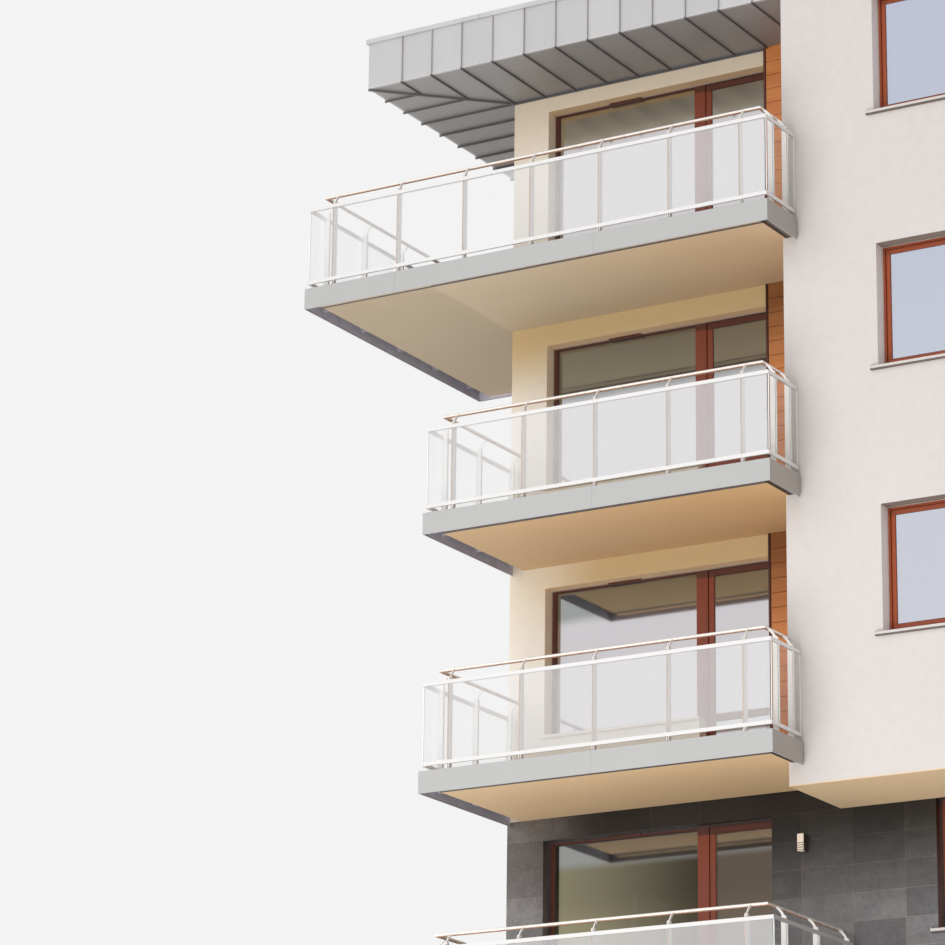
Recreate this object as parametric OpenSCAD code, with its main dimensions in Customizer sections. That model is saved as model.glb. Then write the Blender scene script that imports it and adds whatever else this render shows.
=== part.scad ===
// Apartment block: seven storeys, corner balconies with glass railings, a rendered
// bay, dark stone below, light render above and a metal-clad roof edge.
// X runs along the front, Y runs from the front to the rear, Z is up.
// The front wall's outer face is at front_y; the middle of the block is at X = 0.

/* [Storeys] */
// Height from one floor to the next
storey_h = 3000; // [2800:10:3300]
// Floor of the ground storey above the ground
ground_step = 150; // [100:10:250]
// Thickness of a floor slab
floor_t = 220; // [180:10:260]
// Wall from the head of an opening to the floor above
lintel_h = 473; // [450:1:520]
// Wall from the head of the top storey's openings to the roof's soffit
top_wall_h = 214; // [180:1:300]

/* [Plan] */
// Depth of the block over its finished walls
block_d = 12000; // [11500:50:13000]
// Width of the rendered bay
bay_w = 3980; // [3600:10:4200]
// How far the bay stands out from the front wall
bay_out = 1254; // [1000:2:1400]
// Thickness of the coat under the bay
bay_coat = 10; // [8:1:20]
// Thickness of the block walls
wall_t = 365; // [300:5:400]
// Thickness of their facing, render or stone
skin_t = 35; // [25:1:50]
// Open joint between the stone facing and the ground
ground_gap = 10; // [5:1:20]

/* [Window and door openings] */
// Left pier, from the corner to the balcony opening
corner_pier_w = 480; // [400:10:600]
// Width of the balcony opening
balcony_open_w = 2930; // [2800:10:3000]
// Width of the wall between that opening and the bay, which the boards cover
boards_w = 850; // [700:10:1000]
// Width of the part of it that has a low wall
low_wall_w = 2030; // [1900:10:2100]
// Height of the low wall
low_wall_h = 730; // [650:10:800]
// Sill of the plain windows above their floor
sill_h = 1090; // [1000:10:1150]
// Width of the plain windows
window_w = 1700; // [1500:10:1800]
// Depth of the reveal, from the wall's face to the frame
reveal = 160; // [120:5:180]
// Thickness of the facing where it turns in to the frame and laps over it
frame_lap = 30; // [20:1:40]
// Depth of a frame from front to back
frame_t = 80; // [68:1:92]
// Thickness of the sealed glass in a frame
pane_t = 28; // [24:1:36]
// Distance from a frame's face to its glass
pane_inset = 24; // [22:1:30]
// Windows on each side wall
side_windows = 3; // [2:1:3]
// Middle of the side window nearest the front, from the front wall
side_window_y = 3100; // [3050:10:3300]
// Distance between the middles of the side windows
side_window_pitch = 3200; // [2800:10:3300]
// Distance between the middles of the rear windows
rear_window_pitch = 2900; // [2700:10:3000]

/* [Frames] */
// Face of the outer frame that shows beside the glass of the fixed light
fixed_face = 60; // [50:1:80]
// Face of the post between the fixed light and the balcony door
mullion_w = 150; // [130:1:160]
// Face of a leaf's stiles
stile_w = 72; // [60:1:85]
// Face of the leaf's top rail
top_rail_w = 75; // [60:1:85]
// Height of the underside of the door's middle rail
mid_rail_z = 733; // [700:1:760]
// Face of the door's middle rail
mid_rail_w = 82; // [70:1:95]
// Face of the door's bottom rail
bottom_rail_w = 120; // [100:1:140]
// Gap that shows round a leaf
leaf_gap = 8; // [6:1:10]
// Depth of that gap
leaf_gap_depth = 14; // [10:1:20]
// How far a leaf's face lies behind the outer frame's
leaf_setback = 12; // [8:1:14]
// Width of the bevel round a pane
bevel_w = 7; // [4:1:10]
// Depth of that bevel
bevel_depth = 9; // [6:1:10]
// Face of the plain window's outer frame
window_face = 42; // [36:1:55]
// Face of the plain window's sashes
sash_w = 46; // [38:1:60]
// Width of the plain window's narrow sash
narrow_sash_w = 560; // [500:10:620]

/* [Sills] */
// How far a metal sill stands out from the wall
sill_out = 40; // [30:1:50]
// How far a metal sill runs on beside its window
sill_side = 75; // [50:1:100]
// Height of a metal sill's front edge
sill_lip = 42; // [30:1:50]
// Fall of a sill from the frame to the wall face
sill_fall = 35; // [20:1:45]
// How far the low wall's sill stands out
low_sill_out = 30; // [20:1:40]
// Thickness of the low wall's sill
low_sill_t = 35; // [25:1:45]

/* [Balconies] */
// Depth of a balcony, wall to the face of its edge sheet
balcony_d = 2000; // [1800:10:2100]
// Thickness of a balcony slab
balcony_t = 215; // [180:5:230]
// Height of the edge sheet
fascia_h = 254; // [220:2:280]
// Top of the edge sheet below the balcony's floor
fascia_drop = 8; // [0:1:15]
// Space from the face of the edge sheet to the slab
fascia_gap = 150; // [140:5:190]
// Thickness of the edge sheet
fascia_t = 4; // [3:0.5:6]
// Width of the sheet's folded top edge
fascia_fold = 40; // [25:1:60]
// Width of its turned-in lower edge
fascia_hem = 12; // [8:1:20]
// Length of the edge sheet nearest the bay
fascia_sheet = 2208; // [2000:10:2400]
// Length of the top balcony's corner sheet
corner_sheet = 1250; // [1100:10:1400]
// Open joint between two sheets or rails
joint_gap = 2; // [1:0.5:4]
// How far a balcony's left edge lies inside the corner of the block
balcony_inset = 30; // [20:5:60]
// How far the top balcony stands out past the side wall
wrap_out = 1669; // [1500:1:1750]
// How far the top balcony runs back along the side wall
wrap_back = 2000; // [1900:10:2100]
// How far a balcony's edge laps over the front of the bay
bay_lap = 185; // [150:5:220]
// Clearance between a balcony's edge and the bay
bay_clear = 20; // [10:1:30]
// Clearance between a railing and the wall that it runs to
wall_clear = 80; // [60:5:100]

/* [Railings] */
// Distance from a corner to the first post
post_inset = 360; // [300:10:400]
// Distance from a corner to the first post where a side is short
short_inset = 230; // [200:5:260]
// Distance from the last post of a short side to the bay
bay_post_inset = 146; // [130:2:160]
// Widest space between posts
post_pitch = 960; // [940:10:1100]
// Thickness of one of a post's two flat bars
post_bar_t = 8; // [6:1:12]
// Space between a post's two flat bars
post_bar_gap = 12; // [10:1:20]
// Width of a post, square to the railing
post_d = 58; // [50:1:65]
// Outer face of the glass rails, behind the edge sheet's face
rail_inset = 18; // [14:1:24]
// Thickness of the glass rails
rail_t = 24; // [20:1:30]
// Height of the glass rails' faces
rail_h = 43; // [35:1:50]
// Depth of the groove that holds the glass
rail_groove = 14; // [10:1:18]
// Top of the upper glass rail
rail_top_z = 1006; // [980:1:1050]
// Top of the lower glass rail
rail_low_z = 92; // [80:1:110]
// Thickness of the railing glass
glass_t = 10; // [8:1:12]
// Joint between two sheets of railing glass
glass_gap = 12; // [8:1:16]
// Radius of the handrail
handrail_r = 21; // [19:0.5:24]
// Middle of the handrail, behind the edge sheet's face
handrail_inset = 172; // [150:1:190]
// Middle of the handrail above the floor
handrail_z = 1157; // [1130:1:1180]
// Clearance between a post's bars and the arm that carries the handrail
arm_clear = 1; // [0.5:0.5:2]
// Width of that arm
arm_w = 26; // [20:1:32]
// Rise of the arm from a straight line between bolt and handrail
arm_bulge = 16; // [8:1:24]
// Height of the arm's bolt above the upper rail
bolt_rise = 26; // [18:1:34]

/* [Roof] */
// How far the roof stands out at the sides and the rear
eaves_side = 1322; // [1200:1:1400]
// Height of the roof's edge, soffit to the top of the cap
roof_h = 640; // [600:5:680]
// Thickness of the roof slab
roof_slab_t = 240; // [200:10:280]
// Thickness of the boarded metal cladding
metal_t = 30; // [20:1:40]
// Height of the cap along the roof's edge
cap_h = 57; // [45:1:80]
// Width of the cap
cap_w = 160; // [120:5:200]
// How far the cap stands out from the cladding
cap_out = 30; // [28:1:36]
// Height of the cap above the roof's surface
upstand = 110; // [90:5:150]
// Distance between the standing seams
seam_pitch = 433; // [400:1:460]
// Distance between the seams outside the corner of the block
corner_seam_pitch = 420; // [400:1:430]
// Thickness of a seam
seam_w = 12; // [8:1:16]
// How far a seam stands out
seam_out = 25; // [18:1:26]

/* [Timber boards and lamps] */
// Thickness of the boards
board_t = 22; // [18:1:28]
// Distance between the boards' joints
board_pitch = 173; // [150:1:185]
// Open joint between two boards
board_gap = 6; // [4:1:8]
// Height of the top board
top_board_h = 190; // [150:1:200]
// Width of the corner strip beside the boards
edge_strip_w = 24; // [18:1:30]
// Width of a wall lamp
lamp_w = 90; // [70:1:110]
// Height of a wall lamp
lamp_h = 210; // [180:1:240]
// Underside of a lamp above the balcony floor
lamp_z = 2075; // [2000:5:2150]
// Middle of a lamp from the bay's side
lamp_x = 455; // [400:5:500]

/* [Hidden] */

storeys = 7;
stone_storeys = 4;
top_level = storeys - 1;
shell_t = wall_t + skin_t;
head_h = storey_h - lintel_h;
block_w = 2 * (corner_pier_w + balcony_open_w + boards_w) + bay_w;
left_x = -block_w / 2;
bay_x = -bay_w / 2;
soffit_z = ground_step + top_level * storey_h + head_h + top_wall_h;
roof_top_z = soffit_z + roof_h;
wall_top_z = soffit_z + metal_t;
stone_top_z = ground_step + stone_storeys * storey_h - balcony_t;
bay_bottom_z = ground_step + stone_storeys * storey_h - lintel_h;
// The roof's front edge is flush with the bay, and the cap stands out from it
eaves_front = bay_out;
// The block's overall box is centred on the origin
front_y = (balcony_d - block_d - eaves_side - cap_out) / 2;
opening_x = left_x + corner_pier_w;
opening_end_x = opening_x + balcony_open_w;
boards_end_x = bay_x;
eps = 1;

function level_z(n) = ground_step + n * storey_h;
function upper(n) = n >= stone_storeys;
function side_window_ys() = [for (i = [0 : side_windows - 1]) side_window_y + i * side_window_pitch];
function rear_window_xs() = [for (i = [-1.5 : 1 : 1.5]) i * rear_window_pitch];

// Balcony edges, as [corner x, corner y, direction, length, mitred start, mitred end]
function balcony_x0(n) = n == top_level ? left_x - wrap_out : left_x + balcony_inset;
balcony_x1 = bay_x + bay_lap;
function balcony_end_y(n) = upper(n) ? -bay_out - bay_clear : 0;
function back_edge(n) = n == top_level
    ? [[left_x, wrap_back, 180, left_x - balcony_x0(n), 0, 1]] : [];
function left_edge_y(n) = n == top_level ? wrap_back : 0;
function left_edge(n) =
    [[balcony_x0(n), left_edge_y(n), -90, left_edge_y(n) + balcony_d, n == top_level ? 1 : 0, 1]];
function front_edge(n) = [[balcony_x0(n), -balcony_d, 0, balcony_x1 - balcony_x0(n), 1, 1]];
function right_edge(n) = [[balcony_x1, -balcony_d, 90, balcony_end_y(n) + balcony_d, 1, 0]];
function edges(n) = concat(back_edge(n), left_edge(n), front_edge(n), right_edge(n));

// Railing along an edge: a free end stops short of the wall, but runs up to the bay
function free_gap(e, n) = e[2] == 90 && upper(n) ? 0 : wall_clear;
function run_start(e, n) = e[4] == 1 ? 0 : free_gap(e, n);
function run_end(e, n) = e[3] - (e[5] == 1 ? 0 : free_gap(e, n));
function is_short(e) = e[3] < 2 * post_inset + post_pitch / 4;
function first_post(e, n) = is_short(e) ? short_inset
    : e[4] == 1 ? post_inset : wall_clear + post_d;
function last_post(e, n) = is_short(e) ? e[3] - bay_post_inset
    : e[3] - (e[5] == 1 ? post_inset : wall_clear + post_d);
function post_spaces(e, n) = ceil((last_post(e, n) - first_post(e, n)) / post_pitch);
function posts(e, n) = [for (i = [0 : post_spaces(e, n)])
    first_post(e, n) + i * (last_post(e, n) - first_post(e, n)) / post_spaces(e, n)];

// The panes of the balcony opening and of a plain window, as [x, z, width, height]
leaf_x = low_wall_w + frame_lap;
leaf_w = balcony_open_w - leaf_x - leaf_gap - frame_lap / 2;
leaf_top = head_h - frame_lap / 2;
fixed_pane = [fixed_face, low_wall_h + low_sill_t + 50,
    leaf_x - mullion_w - fixed_face, head_h - low_wall_h - low_sill_t - 50 - fixed_face / 2];
door_top_pane = [leaf_x + leaf_gap + stile_w, mid_rail_z + mid_rail_w,
    leaf_w - 2 * stile_w, leaf_top - top_rail_w - mid_rail_z - mid_rail_w];
door_low_pane = [leaf_x + leaf_gap + stile_w, bottom_rail_w,
    leaf_w - 2 * stile_w, mid_rail_z - bottom_rail_w];
opening_panes = [fixed_pane, door_top_pane, door_low_pane];

window_h = head_h - sill_h;
sash_z = sill_fall + window_face;
sash_h = window_h - sash_z - window_face;
narrow_x = window_w - window_face - narrow_sash_w;
wide_sash_w = narrow_x - leaf_gap - window_face;
window_sashes = [[window_face, sash_z, wide_sash_w, sash_h],
    [narrow_x, sash_z, narrow_sash_w, sash_h]];
window_panes = [for (s = window_sashes)
    [s[0] + sash_w, s[1] + sash_w, s[2] - 2 * sash_w, s[3] - 2 * sash_w]];

door_leaf_w = (window_w - 2 * window_face - leaf_gap) / 2;
door_leaf_h = head_h - window_face;
entrance_leaves = [for (i = [0, 1])
    [window_face + i * (door_leaf_w + leaf_gap), 0, door_leaf_w, door_leaf_h]];
entrance_panes = [for (s = entrance_leaves)
    [s[0] + stile_w, bottom_rail_w, s[2] - 2 * stile_w, s[3] - bottom_rail_w - top_rail_w]];

// Helpers

module placed() {
    translate([0, front_y, 0]) children();
}

module both_sides() {
    children();
    mirror([1, 0, 0]) children();
}

module box(x0, x1, y0, y1, z0, z1) {
    translate([x0, y0, z0]) cube([x1 - x0, y1 - y0, z1 - z0]);
}

// A bar along X between two depths and heights, with its ends cut square or at 45 degrees
module mitred_bar(x0, x1, y0, y1, z0, z1, start, end) {
    translate([0, 0, z0]) linear_extrude(z1 - z0)
        polygon([[x0 + start * y0, y0], [x1 - end * y0, y0],
            [x1 - end * y1, y1], [x0 + start * y1, y1]]);
}

module along(e) {
    translate([e[0], e[1], 0]) rotate([0, 0, e[2]]) children();
}

module at_balconies() {
    for (n = [1 : top_level]) {
        $level = n;
        translate([0, 0, level_z(n)]) children();
    }
}

// Openings, cut through whatever lies between two depths

module balcony_opening(y0, y1, lap) {
    low = low_wall_h - lap;
    box(-lap, balcony_open_w + lap, y0, y1, low, head_h + lap);
    box(low_wall_w - lap, balcony_open_w + lap, y0, y1, 0, low + eps);
}

module window_opening(y0, y1, lap) {
    box(-window_w / 2 - lap, window_w / 2 + lap, y0, y1, sill_h - lap, head_h + lap);
}

module entrance_opening(y0, y1, lap) {
    box(-window_w / 2 - lap, window_w / 2 + lap, y0, y1, 0, head_h + lap);
}

// Places of the openings, on the wall's face: the left end of a balcony opening, which
// is mirrored to the other side, and the middle of a window

module at_balcony_openings(levels) {
    both_sides() for (n = levels)
        translate([opening_x, 0, level_z(n)]) children();
}

module at_centre_windows(levels) {
    for (n = levels)
        translate([0, upper(n) ? -bay_out : 0, level_z(n)]) children();
}

module at_side_windows(levels) {
    both_sides()
        for (n = levels, y = side_window_ys())
            translate([left_x, y, level_z(n)]) rotate([0, 0, -90]) children();
}

module at_rear_windows(levels) {
    for (n = levels, x = rear_window_xs())
        translate([x, block_d, level_z(n)]) rotate([0, 0, 180]) children();
}

// Slabs

module ground_slab() {
    color("gray") placed()
        box(left_x + skin_t, -left_x - skin_t, skin_t, block_d - skin_t, 0, ground_step);
}

module floor_slabs() {
    color("gainsboro") placed() for (n = [1 : top_level])
        box(left_x + shell_t, -left_x - shell_t, shell_t, block_d - shell_t,
            level_z(n) - floor_t, level_z(n));
}

module bay_floors() {
    color("gainsboro") placed() {
        box(bay_x + skin_t, -bay_x - skin_t, skin_t - bay_out, skin_t,
            bay_bottom_z + bay_coat, level_z(stone_storeys));
        for (n = [stone_storeys + 1 : top_level])
            box(bay_x + shell_t, -bay_x - shell_t, shell_t - bay_out, shell_t,
                level_z(n) - floor_t, level_z(n));
    }
}

module roof_slab() {
    color("silver") placed()
        box(left_x - eaves_side + metal_t, -left_x + eaves_side - metal_t,
            metal_t - eaves_front, block_d + eaves_side - metal_t,
            wall_top_z, wall_top_z + roof_slab_t);
}

// Structural walls: piers from the ground slab to the roof, and beams with
// upstand and downstand between them from each window head to the next sill

module front_piers() {
    color("darkgray") placed() both_sides() {
        box(left_x + skin_t, opening_x - frame_lap, skin_t, shell_t, ground_step, wall_top_z);
        box(opening_end_x + frame_lap, bay_x + shell_t, skin_t, shell_t, ground_step, wall_top_z);
    }
}

module front_beams() {
    color("darkgray") placed() {
        both_sides() for (n = [0 : top_level])
            box(opening_x - frame_lap, opening_end_x + frame_lap, skin_t, shell_t,
                level_z(n) + head_h + frame_lap, n == top_level ? wall_top_z : level_z(n + 1));
        for (n = [0 : stone_storeys - 2])
            box(-window_w / 2 - frame_lap, window_w / 2 + frame_lap, skin_t, shell_t,
                level_z(n) + head_h + frame_lap, level_z(n + 1) + sill_h - frame_lap);
        box(bay_x + shell_t, -bay_x - shell_t, skin_t, shell_t,
            level_z(stone_storeys - 1) + head_h + frame_lap, level_z(stone_storeys));
    }
}

module low_walls() {
    color("darkgray") placed() both_sides() for (n = [0 : top_level])
        box(opening_x - frame_lap, opening_x + low_wall_w - frame_lap, skin_t, shell_t,
            level_z(n), level_z(n) + low_wall_h - frame_lap);
}

// Solid stretches of a wall between its windows, given the windows' middles
function stretch_starts(start, middles) =
    concat([start], [for (m = middles) m + window_w / 2 + frame_lap]);
function stretch_ends(end, middles) =
    concat([for (m = middles) m - window_w / 2 - frame_lap], [end]);

module wall_piers(start, end, middles) {
    starts = stretch_starts(start, middles);
    ends = stretch_ends(end, middles);
    for (i = [0 : len(middles)])
        box(starts[i], ends[i], skin_t, shell_t, ground_step, wall_top_z);
}

module wall_beams(middles) {
    for (m = middles, n = [0 : storeys])
        box(m - window_w / 2 - frame_lap, m + window_w / 2 + frame_lap, skin_t, shell_t,
            n == 0 ? ground_step : level_z(n - 1) + head_h + frame_lap,
            n == storeys ? wall_top_z : level_z(n) + sill_h - frame_lap);
}

// The side wall's own frame runs along the wall, from the rear to the front
module on_side_wall() {
    translate([left_x, block_d, 0]) rotate([0, 0, -90]) children();
}

function side_middles() = [for (i = [side_windows - 1 : -1 : 0]) block_d - side_window_ys()[i]];

module side_piers() {
    color("darkgray") placed() both_sides() on_side_wall()
        wall_piers(shell_t, block_d - shell_t, side_middles());
}

module side_beams() {
    color("darkgray") placed() both_sides() on_side_wall() wall_beams(side_middles());
}

module on_rear_wall() {
    translate([0, block_d, 0]) rotate([0, 0, 180]) children();
}

module rear_piers() {
    color("darkgray") placed() on_rear_wall()
        wall_piers(left_x + skin_t, -left_x - skin_t, rear_window_xs());
}

module rear_beams() {
    color("darkgray") placed() on_rear_wall() wall_beams(rear_window_xs());
}

module bay_side_walls() {
    color("darkgray") placed() both_sides()
        box(bay_x + skin_t, bay_x + shell_t, shell_t - bay_out, skin_t,
            level_z(stone_storeys), wall_top_z);
}

// Beside the entrance and the windows over it, then beside the bay's windows
module centre_piers() {
    color("darkgray") placed() both_sides() {
        box(bay_x + shell_t, -window_w / 2 - frame_lap, skin_t, shell_t,
            ground_step, level_z(stone_storeys - 1) + head_h + frame_lap);
        box(bay_x + skin_t, -window_w / 2 - frame_lap, skin_t - bay_out, shell_t - bay_out,
            level_z(stone_storeys), wall_top_z);
    }
}

module bay_beams() {
    color("darkgray") placed()
        for (n = [stone_storeys : storeys])
            box(-window_w / 2 - frame_lap, window_w / 2 + frame_lap,
                skin_t - bay_out, shell_t - bay_out,
                n == stone_storeys ? level_z(n) : level_z(n - 1) + head_h + frame_lap,
                n == storeys ? wall_top_z : level_z(n) + sill_h - frame_lap);
}

// Facings: stone on the lower storeys, render above. Each is a sheet that turns in
// round its openings as far as the frames, and is cut for the balcony slabs

stone_levels = [0 : stone_storeys - 1];
render_levels = [stone_storeys : top_level];

module slab_slot(n) {
    translate([0, 0, level_z(n)])
        box(n == top_level ? left_x - eps : balcony_x0(n) + fascia_gap,
            bay_x, -eps, skin_t + eps, -balcony_t, 0);
}

module side_slab_slot() {
    translate([0, 0, level_z(top_level)])
        box(left_x - eps, left_x + skin_t + eps, -eps, wrap_back - fascia_gap, -balcony_t, 0);
}

module front_sheet(x0, x1, z0, z1, start, end) {
    translate([left_x, 0, 0]) mitred_bar(x0 - left_x, x1 - left_x, 0, skin_t, z0, z1, start, end);
}

module side_sheets(z0, z1) {
    both_sides() on_side_wall() mitred_bar(0, block_d, 0, skin_t, z0, z1, 1, 1);
}

module rear_sheet(z0, z1) {
    on_rear_wall() translate([left_x, 0, 0]) mitred_bar(0, block_w, 0, skin_t, z0, z1, 1, 1);
}

module slate_facing() {
    stone_front_windows = [1 : stone_storeys - 1];
    color("dimgray") placed() difference() {
        union() {
            front_sheet(left_x, -left_x, ground_gap, stone_top_z, 1, 1);
            side_sheets(ground_gap, stone_top_z);
            rear_sheet(ground_gap, stone_top_z);
            at_balcony_openings(stone_levels) balcony_opening(skin_t / 2, reveal, frame_lap);
            at_centre_windows(stone_front_windows) window_opening(skin_t / 2, reveal, frame_lap);
            at_centre_windows([0]) entrance_opening(skin_t / 2, reveal, frame_lap);
            at_side_windows(stone_levels) window_opening(skin_t / 2, reveal, frame_lap);
            at_rear_windows(stone_levels) window_opening(skin_t / 2, reveal, frame_lap);
        }
        box(bay_x, -bay_x, -eps, skin_t + eps, bay_bottom_z, stone_top_z + eps);
        both_sides() for (n = stone_front_windows) slab_slot(n);
        at_balcony_openings(stone_levels) balcony_opening(-eps, reveal + eps, 0);
        at_centre_windows(stone_front_windows) window_opening(-eps, reveal + eps, 0);
        at_centre_windows([0]) entrance_opening(-eps, reveal + eps, 0);
        at_side_windows(stone_levels) window_opening(-eps, reveal + eps, 0);
        at_rear_windows(stone_levels) window_opening(-eps, reveal + eps, 0);
    }
}

module block_render() {
    color("gainsboro") placed() difference() {
        union() {
            side_sheets(stone_top_z, soffit_z);
            rear_sheet(stone_top_z, soffit_z);
            at_side_windows(render_levels) window_opening(skin_t / 2, reveal, frame_lap);
            at_rear_windows(render_levels) window_opening(skin_t / 2, reveal, frame_lap);
        }
        both_sides() side_slab_slot();
        at_side_windows(render_levels) window_opening(-eps, reveal + eps, 0);
        at_rear_windows(render_levels) window_opening(-eps, reveal + eps, 0);
    }
}

module recess_render() {
    color("antiquewhite") placed() difference() {
        union() {
            both_sides() front_sheet(left_x, bay_x, stone_top_z, soffit_z, 1, 0);
            at_balcony_openings(render_levels) balcony_opening(skin_t / 2, reveal, frame_lap);
        }
        both_sides() for (n = render_levels) slab_slot(n);
        at_balcony_openings(render_levels) balcony_opening(-eps, reveal + eps, 0);
    }
}

module bay_render() {
    color("gainsboro") placed() difference() {
        union() {
            difference() {
                box(bay_x, -bay_x, -bay_out, skin_t, bay_bottom_z + bay_coat, wall_top_z);
                box(bay_x + skin_t, -bay_x - skin_t, skin_t - bay_out, skin_t + eps,
                    bay_bottom_z, wall_top_z + eps);
                box(bay_x - eps, -bay_x + eps, -bay_out - eps, skin_t - bay_out,
                    soffit_z, wall_top_z + eps);
            }
            at_centre_windows(render_levels) window_opening(skin_t / 2, reveal, frame_lap);
        }
        at_centre_windows(render_levels) window_opening(-eps, reveal + eps, 0);
    }
}

module bay_soffit() {
    color("tan") placed()
        box(bay_x, -bay_x, -bay_out, 0, bay_bottom_z, bay_bottom_z + bay_coat);
}

// Balconies

module balcony_slabs() {
    color("tan") placed() both_sides() at_balconies() {
        box(balcony_x0($level) + fascia_gap, balcony_x1 - fascia_gap,
            fascia_gap - balcony_d, $level == top_level ? 0 : skin_t, -balcony_t, 0);
        if ($level == top_level) {
            box(left_x + skin_t, balcony_x1 - fascia_gap, 0, skin_t, -balcony_t, 0);
            box(balcony_x0($level) + fascia_gap, left_x + skin_t, 0, wrap_back - fascia_gap,
                -balcony_t, 0);
        }
    }
}

// An edge sheet is a face with a wide fold at its top and a narrow hem at its lower edge
module edge_sheet(x0, x1, start, end) {
    translate([0, 0, -fascia_drop]) {
        mitred_bar(x0, x1, 0, fascia_t, -fascia_h, 0, start, end);
        mitred_bar(x0, x1, 0, fascia_fold, -fascia_t, 0, start, end);
        mitred_bar(x0, x1, 0, fascia_hem, -fascia_h, fascia_t - fascia_h, start, end);
    }
}

function sheet_joints(e, n) = e[2] != 0 ? []
    : n == top_level ? [corner_sheet, e[3] - fascia_sheet] : [e[3] - fascia_sheet];

module balcony_fascias() {
    color("lightgray") placed() both_sides() at_balconies()
        for (e = edges($level)) along(e) {
            joints = sheet_joints(e, $level);
            last = len(joints);
            for (i = [0 : last])
                edge_sheet(i == 0 ? joint_gap / 2 : joints[i - 1] + joint_gap / 2,
                    i == last ? e[3] - joint_gap / 2 : joints[i] - joint_gap / 2,
                    i == 0 ? e[4] : 0, i == last ? e[5] : 0);
        }
}

// Railings. A post is a pair of flat bars on a bracket that reaches from the slab's
// edge to the edge sheet. A bent arm, bolted between them, carries the handrail

bar_y = rail_inset + rail_t;
knee_y = bar_y + post_d / 2;
knee_z = rail_top_z + bolt_rise;
foot_z = 20 - balcony_t;
arm_t = post_bar_gap - 2 * arm_clear;

// A bar ends in a half round about the arm's bolt
module bar_profile() {
    translate([bar_y, foot_z]) square([post_d, knee_z - foot_z]);
    translate([knee_y, knee_z]) circle(d = post_d, $fn = 48);
}

module bracket_profile() {
    polygon([[fascia_t, foot_z / 2], [fascia_t, -fascia_fold], [fascia_gap, -fascia_fold / 2],
        [fascia_gap, foot_z - 10], [bar_y + post_d, foot_z], [bar_y, foot_z]]);
}

// The arm is an arc from the bolt to the middle of the handrail, round about the bolt
module arm_profile() {
    run = handrail_inset - knee_y;
    rise = handrail_z - knee_z;
    chord = norm([run, rise]);
    bend_r = chord * chord / (8 * arm_bulge) + arm_bulge / 2;
    slope = atan2(rise, run);
    half_bend = asin(chord / (2 * bend_r));
    far = bend_r + 2 * arm_w;
    translate([knee_y, knee_z]) circle(d = arm_w, $fn = 48);
    translate([knee_y, knee_z]) rotate(slope)
        translate([chord / 2, arm_bulge - bend_r]) intersection() {
            difference() {
                circle(bend_r + arm_w / 2, $fn = 180);
                circle(bend_r - arm_w / 2, $fn = 180);
            }
            polygon([[0, 0], [far * sin(half_bend), far * cos(half_bend)],
                [0, far / cos(half_bend)], [-far * sin(half_bend), far * cos(half_bend)]]);
        }
}

module upright(thickness) {
    rotate([90, 0, 90]) translate([0, 0, -thickness / 2]) linear_extrude(thickness) children();
}

module handrail_bore() {
    translate([0, handrail_inset, handrail_z]) rotate([0, 90, 0])
        cylinder(r = handrail_r, h = 4 * arm_t, center = true, $fn = 48);
}

module railing_post() {
    spread = (post_bar_gap + post_bar_t) / 2;
    bolt_r = arm_w / 3;
    bolt_len = post_bar_gap + 3 * post_bar_t;
    for (s = [-1, 1]) translate([s * spread, 0, 0]) upright(post_bar_t) bar_profile();
    upright(post_bar_gap) bracket_profile();
    difference() {
        upright(arm_t) arm_profile();
        handrail_bore();
    }
    translate([0, knee_y, knee_z]) rotate([0, 90, 0])
        cylinder(r = bolt_r, h = bolt_len, center = true, $fn = 24);
}

module railing_posts() {
    color("whitesmoke") placed() both_sides() at_balconies()
        for (e = edges($level)) along(e)
            for (x = posts(e, $level)) translate([x, 0, 0]) railing_post();
}

function glass_y() = rail_inset + rail_t / 2 - glass_t / 2;
function glass_starts(e, n) = concat([run_start(e, n) + e[4] * (rail_inset + rail_t)],
    [for (x = posts(e, n)) x + glass_gap / 2]);
function glass_ends(e, n) = concat([for (x = posts(e, n)) x - glass_gap / 2],
    [run_end(e, n) - e[5] * (rail_inset + rail_t)]);

module railing_glass() {
    color("lightcyan", 0.4) placed() both_sides() at_balconies()
        for (e = edges($level)) along(e)
            for (i = [0 : len(posts(e, $level))])
                box(glass_starts(e, $level)[i], glass_ends(e, $level)[i],
                    glass_y(), glass_y() + glass_t,
                    rail_low_z - rail_groove, rail_top_z - rail_h + rail_groove);
}

module grooved_rail(e, n, z, groove_z) {
    difference() {
        mitred_bar(run_start(e, n) + e[4] * joint_gap / 2, run_end(e, n) - e[5] * joint_gap / 2,
            rail_inset, rail_inset + rail_t, z, z + rail_h, e[4], e[5]);
        box(run_start(e, n) + e[4] * (rail_inset + rail_t) - eps,
            run_end(e, n) - e[5] * (rail_inset + rail_t) + eps,
            glass_y(), glass_y() + glass_t, groove_z, groove_z + rail_groove + eps);
    }
}

module glass_rails() {
    color("whitesmoke") placed() both_sides() at_balconies()
        for (e = edges($level)) along(e) {
            grooved_rail(e, $level, rail_top_z - rail_h, rail_top_z - rail_h - eps);
            grooved_rail(e, $level, rail_low_z - rail_h, rail_low_z - rail_groove);
        }
}

module handrails() {
    color("silver") placed() both_sides() at_balconies()
        for (e = edges($level)) along(e)
            intersection() {
                translate([-eps, handrail_inset, handrail_z]) rotate([0, 90, 0])
                    cylinder(r = handrail_r, h = e[3] + 2 * eps, $fn = 48);
                mitred_bar(run_start(e, $level) / 2 + joint_gap / 2,
                    (run_end(e, $level) + e[3]) / 2 - joint_gap / 2,
                    handrail_inset - 2 * handrail_r, handrail_inset + 2 * handrail_r,
                    handrail_z - 2 * handrail_r, handrail_z + 2 * handrail_r, e[4], e[5]);
            }
}

// Windows and doors. Each is drawn from the left end of its opening, in the wall's plane

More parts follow.
